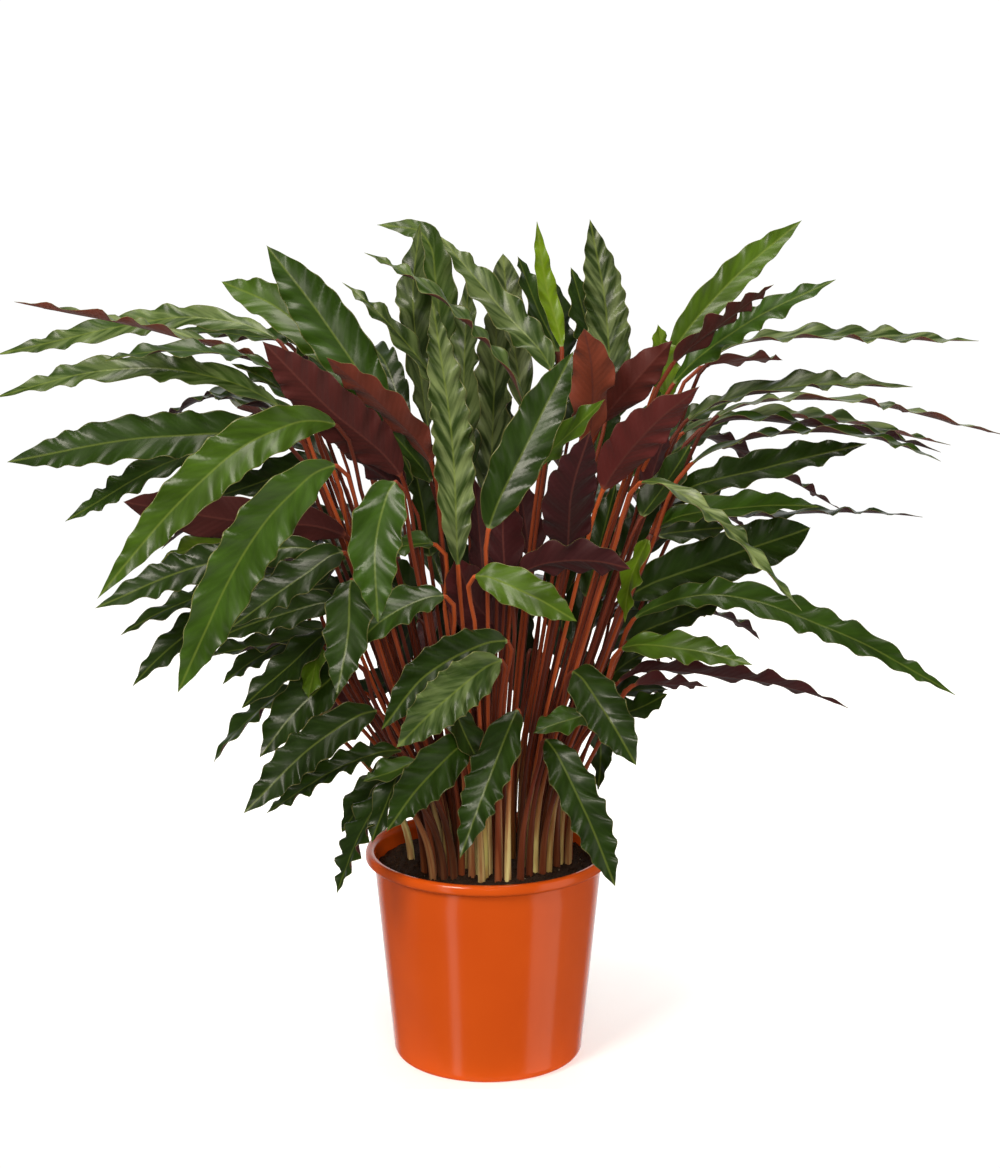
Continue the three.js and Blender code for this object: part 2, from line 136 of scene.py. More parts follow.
# Each lamp: its name, place, width and height in metres, and power in watts, aimed at the plant.
# The strip and the panel reach below the table top: they give the pot its upright bands of light.
# The front lamp fills the shadows only, since a mirrored one would lay a haze over the leaves.
PLANT_MIDDLE = Vector((0, 0, 0.4))
LAMP_WHITE = "fff6ea"
LAMPS = [
    ("key_lamp", (-1.3, -1.9, 1.9), 0.8, 0.8, 44),
    ("front_lamp", (0.3, -2.8, 1.2), 1.2, 0.9, 50),
    ("top_lamp", (0.1, 0.1, 2.3), 1.1, 0.9, 30),
    ("strip_lamp", (-1.5, -1.9, -0.3), 0.44, 3.4, 6),
    ("panel_lamp", (2.0, -0.9, 0.1), 1.4, 3.4, 13),
]


def hang(name, place, width, height, power):
    """A rectangular lamp, not yet turned."""
    lamp = bpy.data.lights.new(name, "AREA")
    lamp.shape = "RECTANGLE"
    lamp.size, lamp.size_y, lamp.energy = width, height, power
    lamp.color = linear(LAMP_WHITE)[:3]
    stand = bpy.data.objects.new(name, lamp)
    stand.location = place
    bpy.context.collection.objects.link(stand)
    return stand


for name, place, width, height, power in LAMPS:
    stand = hang(name, place, width, height, power)
    level = PLANT_MIDDLE if place[2] > 1 else Vector((0, 0, place[2]))
    stand.rotation_euler = (level - stand.location).to_track_quat("-Z", "Y").to_euler()
    stand.visible_glossy = name != "front_lamp"

# A lamp straight above that whitens the table alone, and casts no shadows on it
table = bpy.data.collections.new("table")
table.objects.link(floor)
table_lamp = hang("table_lamp", (0, 0.8, 2.6), 3.0, 2.4, 84)
table_lamp.data.color = (1, 1, 1)
table_lamp.data.use_shadow = False
table_lamp.light_linking.receiver_collection = table


# Pot: one injection-moulded polypropylene shell, 210 mm over its rolled rim. The wall is smooth
# and glossy, with a rounded lower corner, a foot ring and eight drain holes in its floor.
POT_HEIGHT = 184 * MM
RIM_RADIUS = 105 * MM
RIM_BEAD = 10 * MM
RIM_FULLEST_SHARE = 0.4
RIM_LIP, RIM_SEAM = 0.3 * MM, 1.5 * MM
WALL_TOP_RADIUS, WALL_BASE_RADIUS, WALL_THICKNESS = 97.5 * MM, 81.5 * MM, 2 * MM
BASE_CORNER, FLOOR_THICKNESS = 9 * MM, 3 * MM
RECESS_OUTER, RECESS_INNER, RECESS_DEPTH = 58 * MM, 22 * MM, 1.5 * MM
POT_SIDES = 160
CURVE_STEPS, WALL_STEPS = 10, 12
DRAIN_HOLES, DRAIN_HOLE_RADIUS, DRAIN_CIRCLE = 8, 5 * MM, 40 * MM
HOLE_FLASH = 0.96


def piece(name, points, faces):
    """A new mesh object with smooth faces."""
    mesh = bpy.data.meshes.new(name)
    mesh.from_pydata([tuple(p) for p in points], [], [tuple(f) for f in faces])
    mesh.polygons.foreach_set("use_smooth", [True] * len(mesh.polygons))
    made = bpy.data.objects.new(name, mesh)
    bpy.context.collection.objects.link(made)
    return made


def rounded(start, corner, end):
    """A quadratic arc from start to end that its corner pulls out."""
    shares = np.linspace(0, 1, CURVE_STEPS + 1)[:, None]
    start, corner, end = (np.array(p) for p in (start, corner, end))
    return list((1 - shares) ** 2 * start + 2 * shares * (1 - shares) * corner + shares**2 * end)


def wall_radius(z):
    """Radius of the pot's outer wall at a height."""
    share = (z - BASE_CORNER) / (POT_HEIGHT - RIM_BEAD - BASE_CORNER)
    return WALL_BASE_RADIUS + (WALL_TOP_RADIUS - WALL_BASE_RADIUS) * max(share, 0)


def turned(outline, sides):
    """Points and faces of an outline of (radius, z) turned about the pot's axis."""
    angles = np.arange(sides) * 2 * math.pi / sides
    outline = np.array(outline)
    rings = [
        np.column_stack((r * np.cos(angles), r * np.sin(angles), np.full(sides, z))) for r, z in outline
    ]
    faces = []
    for ring in range(len(outline)):
        here, above = ring * sides, (ring + 1) % len(outline) * sides
        for i in range(sides):
            j = (i + 1) % sides
            faces.append((here + i, here + j, above + j, above + i))
    return np.vstack(rings), faces


under_rim = POT_HEIGHT - RIM_BEAD
inner_top = WALL_TOP_RADIUS - WALL_THICKNESS
inner_base = wall_radius(FLOOR_THICKNESS) - WALL_THICKNESS
rim_middle = (RIM_RADIUS + WALL_TOP_RADIUS) / 2
rim_bulge = under_rim + RIM_BEAD * RIM_FULLEST_SHARE
hole_near, hole_far = DRAIN_CIRCLE - DRAIN_HOLE_RADIUS, DRAIN_CIRCLE + DRAIN_HOLE_RADIUS
wall_heights = np.linspace(BASE_CORNER, under_rim - RIM_SEAM, WALL_STEPS)
outline = [(hole_far, RECESS_DEPTH), (RECESS_OUTER - RECESS_DEPTH, RECESS_DEPTH), (RECESS_OUTER, 0)]
outline += rounded(
    (WALL_BASE_RADIUS - BASE_CORNER, 0), (WALL_BASE_RADIUS, 0), (WALL_BASE_RADIUS, BASE_CORNER)
)
outline += [(wall_radius(z), z) for z in wall_heights[1:]]
outline += rounded((WALL_TOP_RADIUS + RIM_LIP, under_rim), (RIM_RADIUS, under_rim), (RIM_RADIUS, rim_bulge))
outline += rounded((RIM_RADIUS, rim_bulge), (RIM_RADIUS, POT_HEIGHT), (rim_middle, POT_HEIGHT))[1:]
outline += rounded((rim_middle, POT_HEIGHT), (inner_top, POT_HEIGHT), (inner_top, under_rim))[1:]
outline += rounded(
    (inner_base, BASE_CORNER), (inner_base, FLOOR_THICKNESS), (inner_base - BASE_CORNER, FLOOR_THICKNESS)
)
outline += [(hole_far, FLOOR_THICKNESS)]
shell_points, shell_faces = turned(outline, POT_SIDES)
shell_faces = shell_faces[: -POT_SIDES]

# The floor between the wall and the middle pad: two sheets of a ring with its drain holes cut
# out, joined round each hole, and the pad that the pot's centre stands on.
points = [tuple(p) for p in shell_points]
faces = list(shell_faces)


def floor_sheet(z, pad_z, outer_first):
    """One sheet of the pot's floor inside hole_far, with drain holes. Returns the holes' rings."""
    spokes = POT_SIDES // DRAIN_HOLES
    angles = [i * 2 * math.pi / POT_SIDES for i in range(POT_SIDES)]
    inner = len(points)
    points.extend((hole_near * math.cos(a), hole_near * math.sin(a), z) for a in angles)
    pad = len(points)
    pad_radius = RECESS_INNER + (RECESS_DEPTH if pad_z == z else 0)
    points.extend((pad_radius * math.cos(a), pad_radius * math.sin(a), z) for a in angles)
    edge = len(points)
    points.extend((RECESS_INNER * math.cos(a), RECESS_INNER * math.sin(a), pad_z) for a in angles)
    middle = len(points)
    points.append((0, 0, pad_z))
    holes = []
    for i in range(POT_SIDES):
        j = (i + 1) % POT_SIDES
        faces.append((inner + i, inner + j, pad + j, pad + i))
        faces.append((pad + i, pad + j, edge + j, edge + i))
        faces.append((edge + i, edge + j, middle))
    for hole in range(DRAIN_HOLES):
        first = hole * spokes
        outer_arc = [outer_first + (first + k) % POT_SIDES for k in range(spokes + 1)]
        inner_arc = [inner + (first + k) % POT_SIDES for k in range(spokes + 1)]
        border = outer_arc + inner_arc[::-1]
        centre_angle = (hole + 0.5) * 2 * math.pi / DRAIN_HOLES
        centre = (DRAIN_CIRCLE * math.cos(centre_angle), DRAIN_CIRCLE * math.sin(centre_angle))
        ring = len(points)
        for place in border:
            x, y = points[place][0] - centre[0], points[place][1] - centre[1]
            reach = HOLE_FLASH * DRAIN_HOLE_RADIUS / math.hypot(x, y)
            points.append((centre[0] + x * reach, centre[1] + y * reach, z))
        count = len(border)
        for k in range(count):
            n = (k + 1) % count
            faces.append((border[k], border[n], ring + n, ring + k))
        holes.append((ring, count))
    return holes


lower_holes = floor_sheet(RECESS_DEPTH, 0.0, 0)
upper_holes = floor_sheet(FLOOR_THICKNESS, FLOOR_THICKNESS, len(shell_points) - POT_SIDES)
for (low, count), (high, _) in zip(lower_holes, upper_holes):
    for k in range(count):
        n = (k + 1) % count
        faces.append((low + k, low + n, high + n, high + k))
pot = piece("pot_shell", points, faces)


def face_outwards(made):
    """Turns every face of a closed mesh to the outside."""
    bpy.ops.object.select_all(action="DESELECT")
    bpy.context.view_layer.objects.active = made
    made.select_set(True)
    bpy.ops.object.mode_set(mode="EDIT")
    bpy.ops.mesh.select_all(action="SELECT")
    bpy.ops.mesh.remove_doubles(threshold=1e-6)
    bpy.ops.mesh.normals_make_consistent(inside=False)
    bpy.ops.object.mode_set(mode="OBJECT")


face_outwards(pot)

# Glossy moulded polypropylene: a smooth bright skin, with the faint upright draw lines and the
# slight cloudiness of a mould that has made many pots.
POT_ORANGE, POT_DEEP = "d85814", "cb4d0e"
DRAW_LINE_SPACING = 9 * MM
POT_CLOUD = 70 * MM

plastic, tree = new_material("moulded_polypropylene")
place = add(tree, "TexCoord").outputs["Object"]
cloud = add(tree, "TexNoise", {"Vector": place, "Scale": 1 / POT_CLOUD, "Detail": 2}).outputs["Fac"]
upright = add(tree, "Mapping", {"Vector": place, "Scale": (1, 1, 0.03)}).outputs[0]
lines = add(tree, "TexNoise", {"Vector": upright, "Scale": 1 / DRAW_LINE_SPACING, "Detail": 3}).outputs["Fac"]
colour = add(
    tree, "Mix", {"Factor": cloud, "A": linear(POT_ORANGE), "B": linear(POT_DEEP)}, data_type="RGBA"
).outputs["Result"]
gloss = add(
    tree, "MapRange", {"Value": lines, "From Min": 0.3, "From Max": 0.7, "To Min": 0.14, "To Max": 0.19}
).outputs[0]
relief = add(tree, "Bump", {"Height": lines, "Strength": 0.05, "Distance": 0.2 * MM}).outputs[0]
shader = add(
    tree, "BsdfPrincipled", {"Base Color": colour, "Roughness": gloss, "IOR": 1.49, "Normal": relief}
)
add(tree, "OutputMaterial", {"Surface": shader.outputs[0]})
pot.data.materials.append(plastic)
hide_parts("pot")
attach(pot, "root")


# Soil: moist peat mix, filled to 15 mm under the rim and left loose. The surface is a lumpy
# sheet over a closed core, and crumbs of peat, bark and pale grit lie on it.
SOIL_TOP = 168 * MM
SOIL_CROWN = 4 * MM
SOIL_GAP = 0.7 * MM
SOIL_RINGS, SOIL_SIDES = 46, 150
SOIL_SHOULDER, CLOSING_RINGS = 8 * MM, 3
LUMP, LUMP_RISE = 16 * MM, 2 * MM
CRUMB, CRUMB_RISE = 4.5 * MM, 1.1 * MM
FINE, FINE_RISE = 1.6 * MM, 0.45 * MM
CRUMB_COUNT, GRIT_COUNT = 1500, 26
CRUMB_SIZES = (0.7 * MM, 2.6 * MM)
GRIT_SIZES = (0.6 * MM, 1.2 * MM)
BARE_EDGE = 3 * MM

soil_edge = wall_radius(SOIL_TOP) - WALL_THICKNESS - SOIL_GAP


def soil_height(x, y):
    """Height of the lumpy soil surface."""
    share = min(math.hypot(x, y) / soil_edge, 1)
    crown = SOIL_CROWN * (1 - share**2)
    lumps = noise.noise(Vector((x, y, 0.3)) / LUMP) * LUMP_RISE
    crumbs = noise.noise(Vector((x, y, 1.7)) / CRUMB) * CRUMB_RISE
    return SOIL_TOP + crown + lumps + crumbs + noise.noise(Vector((x, y, 4.0)) / FINE) * FINE_RISE


soil_low = FLOOR_THICKNESS + SOIL_GAP
points, faces = [(0, 0, soil_height(0, 0))], []
for ring in range(1, SOIL_RINGS + 1):
    radius = soil_edge * ring / SOIL_RINGS
    for i in range(SOIL_SIDES):
        angle = (i + 0.5 * (ring % 2)) * 2 * math.pi / SOIL_SIDES
        x, y = radius * math.cos(angle), radius * math.sin(angle)
        points.append((x, y, soil_height(x, y)))
for radius, z in (
    (wall_radius(SOIL_TOP - SOIL_SHOULDER) - WALL_THICKNESS - SOIL_GAP, SOIL_TOP - SOIL_SHOULDER),
    (wall_radius(BASE_CORNER) - WALL_THICKNESS - SOIL_GAP, BASE_CORNER + 2 * MM),
    (wall_radius(0) - WALL_THICKNESS - SOIL_GAP - BASE_CORNER, soil_low),
):
    for i in range(SOIL_SIDES):
        angle = i * 2 * math.pi / SOIL_SIDES
        points.append((radius * math.cos(angle), radius * math.sin(angle), z))
points.append((0, 0, soil_low))
all_rings = SOIL_RINGS + CLOSING_RINGS
for i in range(SOIL_SIDES):
    j = (i + 1) % SOIL_SIDES
    faces.append((0, 1 + i, 1 + j))
    for ring in range(all_rings - 1):
        here = 1 + ring * SOIL_SIDES
        beyond = here + SOIL_SIDES
        faces.append((here + i, beyond + i, beyond + j, here + j))
    last = 1 + (all_rings - 1) * SOIL_SIDES
    faces.append((len(points) - 1, last + j, last + i))
soil = piece("soil_bed", points, faces)

# Moist peat: a near black brown, matt, with short fibres that catch a little light
PEAT_DARK, PEAT_BROWN, PEAT_DRY = "1a100a", "2e1d13", "49331f"
FIBRE = 2.2 * MM

peat, tree = new_material("moist_peat")
place = add(tree, "TexCoord").outputs["Object"]
patches = add(tree, "TexNoise", {"Vector": place, "Scale": 1 / LUMP, "Detail": 4}).outputs["Fac"]
fibres = add(
    tree, "TexNoise", {"Vector": place, "Scale": 1 / FIBRE, "Detail": 6, "Roughness": 0.7}
).outputs["Fac"]
ramp = add(tree, "ValToRGB", {"Fac": fibres})
ramp.color_ramp.elements[0].position, ramp.color_ramp.elements[0].color = 0.38, linear(PEAT_DARK)
ramp.color_ramp.elements[1].position, ramp.color_ramp.elements[1].color = 0.72, linear(PEAT_DRY)
colour = add(
    tree, "Mix", {"Factor": patches, "A": linear(PEAT_BROWN), "B": ramp.outputs[0]}, data_type="RGBA"
).outputs["Result"]
relief = add(tree, "Bump", {"Height": fibres, "Strength": 0.8, "Distance": 1 * MM}).outputs[0]
shader = add(tree, "BsdfPrincipled", {"Base Color": colour, "Roughness": 0.92, "Normal": relief})
add(tree, "OutputMaterial", {"Surface": shader.outputs[0]})
soil.data.materials.append(peat)
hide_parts("soil")
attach(soil, "root")

# Crumbs: small broken lumps, each a squashed twenty-sided ball with its corners moved at random
dice = random.Random(5)
golden = (1 + math.sqrt(5)) / 2
BALL_POINTS = [
    Vector(p).normalized()
    for a in (-1, 1)
    for b in (-golden, golden)
    for p in ((0, a, b), (a, b, 0), (b, 0, a))
]
BALL_REACH = min((BALL_POINTS[0] - p).length for p in BALL_POINTS[1:]) * 1.01
BALL_FACES = [
    (i, j, k)
    for i in range(12)
    for j in range(i + 1, 12)
    for k in range(j + 1, 12)
    if max(
        (BALL_POINTS[i] - BALL_POINTS[j]).length,
        (BALL_POINTS[j] - BALL_POINTS[k]).length,
        (BALL_POINTS[i] - BALL_POINTS[k]).length,
    )
    < BALL_REACH
]


def scattered(name, count, sizes, sink):
    """Loose grains on the soil, joined in one piece."""
    points, faces = [], []
    for _ in range(count):
        radius = (soil_edge - BARE_EDGE) * math.sqrt(dice.random())
        angle = dice.random() * 2 * math.pi
        x, y = radius * math.cos(angle), radius * math.sin(angle)
        size = sizes[0] + (sizes[1] - sizes[0]) * dice.random() ** 2.5
        squash = Vector((dice.uniform(0.8, 1.3), dice.uniform(0.6, 1.1), dice.uniform(0.5, 0.9)))
        spin = Vector((dice.uniform(-1, 1), dice.uniform(-1, 1), dice.uniform(-1, 1))).to_track_quat("X", "Z")
        centre = Vector((x, y, soil_height(x, y) + size * sink))
        first = len(points)
        for p in BALL_POINTS:
            corner = Vector(a * b for a, b in zip(p * dice.uniform(0.75, 1.2), squash)) * size
            points.append(centre + spin @ corner)
        for f in BALL_FACES:
            a, b, c = (points[first + i] - centre for i in f)
            outwards = (b - a).cross(c - a).dot(a + b + c) > 0
            faces.append(tuple(first + i for i in (f if outwards else f[::-1])))
    made = piece(name, points, faces)
    made.data.polygons.foreach_set("use_smooth", [False] * len(made.data.polygons))
    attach(made, "root")
    return made


crumbs = scattered("soil_crumbs", CRUMB_COUNT, CRUMB_SIZES, 0.1)
crumbs.data.materials.append(peat)
grit = scattered("soil_grit", GRIT_COUNT, GRIT_SIZES, 0.3)

# Pumice grit: chalky pale grains with a dusty matt skin
GRIT_PALE, GRIT_DUSTY = "9a9078", "6f6250"
pumice, tree = new_material("pumice_grit")
place = add(tree, "TexCoord").outputs["Object"]
dust = add(tree, "TexNoise", {"Vector": place, "Scale": 1 / FIBRE, "Detail": 3}).outputs["Fac"]
colour = add(
    tree, "Mix", {"Factor": dust, "A": linear(GRIT_PALE), "B": linear(GRIT_DUSTY)}, data_type="RGBA"
).outputs["Result"]
shader = add(tree, "BsdfPrincipled", {"Base Color": colour, "Roughness": 0.85})
add(tree, "OutputMaterial", {"Surface": shader.outputs[0]})
grit.data.materials.append(pumice)


# Leaf materials. A leaf has a waxy upper skin, a maroon underside with short soft hairs, and a
# hairy orange-red stalk that pales to cream where it sheathes the next one in the soil.
# Each leaf's mesh carries leaf_place (mm along the midrib from the neck, mm across it, and the share
# of the half width) and leaf_age (0 old to 1 young, a chance value, 1 where light shines through).
VEIN_SPACING = 6.5
VEIN_LEAN = 1.1
MIDRIB_HALF, MIDRIB_FADE = 0.35, 1.2
SKIN_PATCH, SKIN_GRAIN = 45.0, 2.5
FEATHER, FEATHER_LEAN, FEATHER_SCALE = 8.0, 2.0, (0.7, 0.4, 500)
SPAN = ("Value", "From Min", "From Max", "To Min", "To Max")


def leaf_pattern(tree):
    """Values that both leaf faces share: age, chance, vein lines, midrib and margin masks."""
    place = add(tree, "Attribute", attribute_name="leaf_place").outputs["Vector"]
    along, across, edge = add(tree, "SeparateXYZ", {0: place}).outputs
    age = add(tree, "Attribute", attribute_name="leaf_age").outputs["Vector"]
    young, chance, lit = add(tree, "SeparateXYZ", {0: age}).outputs
    out = add(tree, "Math", {0: across}, operation="ABSOLUTE").outputs[0]
    forward = add(tree, "Math", {0: out, 1: -VEIN_LEAN, 2: along}, operation="MULTIPLY_ADD").outputs[0]
    turns = add(tree, "Math", {0: forward, 1: 2 * math.pi / VEIN_SPACING}, operation="MULTIPLY").outputs[0]
    veins = add(tree, "Math", {0: turns}, operation="SINE").outputs[0]
    strand = add(tree, "Math", {0: out, 1: -FEATHER_LEAN, 2: along}, operation="MULTIPLY_ADD").outputs[0]
    strand = add(tree, "CombineXYZ", {"X": strand, "Y": across, "Z": chance}).outputs[0]
    strand = add(tree, "Mapping", {"Vector": strand, "Scale": FEATHER_SCALE}).outputs[0]
    feather = add(tree, "TexNoise", {"Vector": strand, "Scale": 1 / FEATHER, "Detail": 3}).outputs["Fac"]
    limits = dict(zip(SPAN, (out, MIDRIB_HALF, MIDRIB_FADE, 1, 0)))
    midrib = add(tree, "MapRange", limits).outputs[0]
    shifted = add(tree, "CombineXYZ", {"X": chance, "Y": chance, "Z": young}).outputs[0]
    far = add(tree, "VectorMath", {0: shifted, 1: (700, 700, 700)}, operation="MULTIPLY").outputs[0]
    spot = add(tree, "VectorMath", {0: place, 1: far}, operation="ADD").outputs[0]
    patch = add(tree, "TexNoise", {"Vector": spot, "Scale": 1 / SKIN_PATCH, "Detail": 3}).outputs["Fac"]
    grain = add(tree, "TexNoise", {"Vector": spot, "Scale": 1 / SKIN_GRAIN, "Detail": 2}).outputs["Fac"]
    return young, chance, lit, edge, veins, midrib, patch, grain, feather


# Waxy upper skin: glossy green that darkens with age, feathered along the side veins, with a
# lighter midrib and a thin dry margin. Light through a blade brings out its pale streaks.
SKIN_OLD, SKIN_MIDDLE, SKIN_YOUNG = "1b2b0a", "2f4a0e", "6d8a10"
SKIN_PALE, SKIN_LIT, SKIN_MARGIN, MIDRIB_GREEN = "4c6030", "8a9864", "8a8450", "7a8a38"
MIDDLE_AGE, MIDRIB_SHARE, SKIN_RELIEF = 0.45, 0.3, 0.25 * MM

skin, tree = new_material("waxy_leaf_skin")
young, _, lit, edge, veins, midrib, patch, grain, feather = leaf_pattern(tree)
ages = add(tree, "ValToRGB", {"Fac": young})
ages.color_ramp.elements[0].color = linear(SKIN_OLD)
ages.color_ramp.elements[1].color = linear(SKIN_YOUNG)
ages.color_ramp.elements.new(MIDDLE_AGE).color = linear(SKIN_MIDDLE)
margin = add(tree, "Math", {0: edge}, operation="ABSOLUTE").outputs[0]
streak, veined, clouded, feathered, dried, wax = (
    add(tree, "MapRange", dict(zip(SPAN, limits))).outputs[0]
    for limits in (
        (feather, 0.4, 0.6, 0.08, 0.85),
        (veins, 0.2, 1, 0, 0.05),
        (patch, 0.3, 0.7, 0.66, 1.1),
        (feather, 0.3, 0.7, 0.74, 1.2),
        (margin, 0.955, 1, 0, 0.6),
        (patch, 0.3, 0.7, 0.28, 0.4),
    )
)
pale = add(tree, "Math", {0: lit, 1: streak}, operation="MULTIPLY").outputs[0]
rib = add(tree, "Math", {0: midrib, 1: MIDRIB_SHARE}, operation="MULTIPLY").outputs[0]
colour = ages.outputs[0]
for share, tint, blend in (
    (pale, linear(SKIN_LIT), "MIX"),
    (veined, linear(SKIN_PALE), "MIX"),
    (1.0, clouded, "MULTIPLY"),
    (1.0, feathered, "MULTIPLY"),
    (rib, linear(MIDRIB_GREEN), "MIX"),
    (dried, linear(SKIN_MARGIN), "MIX"),
):
    layer = {"Factor": share, "A": colour, "B": tint}
    colour = add(tree, "Mix", layer, data_type="RGBA", blend_type=blend).outputs["Result"]
height = add(tree, "Math", {0: grain, 1: 0.1, 2: veins}, operation="MULTIPLY_ADD").outputs[0]
relief = add(tree, "Bump", {"Height": height, "Strength": 0.1, "Distance": SKIN_RELIEF}).outputs[0]
finish = {"Base Color": colour, "Roughness": wax, "IOR": 1.4, "Normal": relief}
shader = add(tree, "BsdfPrincipled", finish)
add(tree, "OutputMaterial", {"Surface": shader.outputs[0]})

# Downy underside: dull maroon under short soft hairs, with a browner midrib, and brick red where
# light shines through it
UNDER_DARK, UNDER_RED, UNDER_LIT, UNDER_RIB = "2c0f13", "521e1e", "84402a", "5e302a"
UNDER_RIB_SHARE, DOWN_RELIEF = 0.7, 0.3 * MM

underside, tree = new_material("downy_leaf_underside")
_, chance, lit, _, veins, midrib, patch, grain, _ = leaf_pattern(tree)
tone = add(tree, "Math", {0: patch, 1: 0.6, 2: chance}, operation="MULTIPLY_ADD").outputs[0]
tone, veined = (
    add(tree, "MapRange", dict(zip(SPAN, limits))).outputs[0]
    for limits in ((tone, 0.2, 1.3, 0, 1), (veins, 0.3, 1, 0, 0.06))
)
rib = add(tree, "Math", {0: midrib, 1: UNDER_RIB_SHARE}, operation="MULTIPLY").outputs[0]
rib = add(tree, "Math", {0: rib, 1: veined}, operation="MAXIMUM").outputs[0]
colour = linear(UNDER_DARK)
for share, tint in ((tone, UNDER_RED), (lit, UNDER_LIT), (rib, UNDER_RIB)):
    layer = {"Factor": share, "A": colour, "B": linear(tint)}
    colour = add(tree, "Mix", layer, data_type="RGBA").outputs["Result"]
height = add(tree, "Math", {0: grain, 1: 0.3, 2: veins}, operation="MULTIPLY_ADD").outputs[0]
relief = add(tree, "Bump", {"Height": height, "Strength": 0.22, "Distance": DOWN_RELIEF}).outputs[0]
finish = {"Base Color": colour, "Roughness": 0.58, "IOR": 1.4, "Normal": relief, "Sheen Weight": 0.05}
shader = add(tree, "BsdfPrincipled", finish)
add(tree, "OutputMaterial", {"Surface": shader.outputs[0]})

# Hairy stalk: brown, red or orange by leaf, streaked along its length, and cream to pale green
# where it sheathes. Below the neck, leaf_age's third value is the height above the soil instead,
# as a share of SHEATH_REACH (mm).
SHEATH_REACH = 100.0
STALK_RED, STALK_BROWN, STALK_ORANGE = "7c3218", "451a10", "ac4e22"
SHEATH_CREAM, SHEATH_GREEN = "dfcf92", "a3a23e"
STALK_STREAK, STALK_RELIEF = 2.2, 0.3 * MM

stalk_skin, tree = new_material("hairy_leaf_stalk")
place = add(tree, "Attribute", attribute_name="leaf_place").outputs["Vector"]
age = add(tree, "Attribute", attribute_name="leaf_age").outputs["Vector"]
young, chance, height = add(tree, "SeparateXYZ", {0: age}).outputs
drawn = add(tree, "Mapping", {"Vector": place, "Scale": (0.03, 1, 1)}).outputs[0]
streaks = add(tree, "TexNoise", {"Vector": drawn, "Scale": 1 / STALK_STREAK, "Detail": 3}).outputs["Fac"]
reds = add(tree, "ValToRGB", {"Fac": chance})
reds.color_ramp.elements[0].color = linear(STALK_BROWN)
reds.color_ramp.elements[1].color = linear(STALK_ORANGE)
reds.color_ramp.elements.new(0.5).color = linear(STALK_RED)
layer = {"Factor": young, "A": linear(SHEATH_CREAM), "B": linear(SHEATH_GREEN)}
pales = add(tree, "Mix", layer, data_type="RGBA").outputs["Result"]
pale_share, picked, strip, shade = (
    add(tree, "MapRange", dict(zip(SPAN, limits))).outputs[0]
    for limits in (
        (height, 0.25, 1.0, 1, 0),
        (chance, 0.5, 0.75, 0.05, 1),
        (streaks, 0.42, 0.55, 0.45, 1),
        (streaks, 0.3, 0.7, 0.7, 1.2),
    )
)
for share in (picked, strip):
    pale_share = add(tree, "Math", {0: pale_share, 1: share}, operation="MULTIPLY").outputs[0]
colour = reds.outputs[0]
for share, tint, blend in ((pale_share, pales, "MIX"), (1.0, shade, "MULTIPLY")):
    layer = {"Factor": share, "A": colour, "B": tint}
    colour = add(tree, "Mix", layer, data_type="RGBA", blend_type=blend).outputs["Result"]
relief = add(tree, "Bump", {"Height": streaks, "Strength": 0.4, "Distance": STALK_RELIEF}).outputs[0]
finish = {"Base Color": colour, "Roughness": 0.5, "IOR": 1.4, "Normal": relief, "Sheen Weight": 0.05}
shader = add(tree, "BsdfPrincipled", finish)
add(tree, "OutputMaterial", {"Surface": shader.outputs[0]})


# Leaves: each grew as one piece, from a sheathed foot through a thin stalk to a lance-shaped
# blade whose margins are waved along the slanting side veins. The midrib is a ridge below.
COLUMNS = np.array([-1, -0.94, -0.82, -0.64, -0.44, -0.24, -0.07, 0, 0.07, 0.24, 0.44, 0.64, 0.82, 0.94, 1])
STATIONS_A_WAVE, STALK_STATIONS = 8.5, 22
BLADE_THICKNESS = 0.5 * MM
RIB_HEIGHT, RIB_HALF = 0.9 * MM, 1.1 * MM
STALK_RADIUS, SHEATH_RADIUS, SHEATH_LENGTH = 1.7 * MM, 3.2 * MM, 100 * MM
FULLEST_AT = 0.42
LEAST_HALF, TIP_LENGTH, NECK_BLEND = 0.25 * MM, 1.2 * MM, 9 * MM
GROOVE_DEPTH, GROOVE_HALF = 0.35 * MM, 0.9 * MM
KNEE_SWELL, KNEE_BACK, KNEE_HALF = 0.35, 8 * MM, 7 * MM
WAVES_RISE, WAVES_FALL = (0.02, 0.2), (0.86, 1.0)
WAVE_LEAN, SECOND_WAVE = 0.75, 0.12
SWAY_LENGTH, UNEVEN_SHARE, UNEVEN_TURNS = 95 * MM, 0.4, 1.7


def smooth_step(values, low, high):
    """0 below low, 1 above high and a smooth rise between."""
    x = np.clip((values - low) / (high - low), 0, 1)
    return x * x * (3 - 2 * x)


def through(knots, values, at):
    """A smooth curve through values at rising knots, read at the places at."""
    slopes = np.gradient(values, knots, axis=0, edge_order=2)
    k = np.clip(np.searchsorted(knots, at, side="right") - 1, 0, len(knots) - 2)
    span = (knots[k + 1] - knots[k])[:, None]
    x = (at - knots[k])[:, None] / span
    start, end = values[k], values[k + 1]
    return (
        (1 + 2 * x) * (1 - x) ** 2 * start
        + x * (1 - x) ** 2 * span * slopes[k]
        + x * x * (3 - 2 * x) * end
        + x * x * (x - 1) * span * slopes[k + 1]
    )


def unit(vectors):
    """The vectors, each scaled to length 1."""
    return vectors / np.linalg.norm(vectors, axis=-1, keepdims=True)


def lengths_to(points):
    """The length of the line through the points, from its start to each of them."""
    return np.concatenate(([0], np.cumsum(np.linalg.norm(np.diff(points, axis=0), axis=1))))


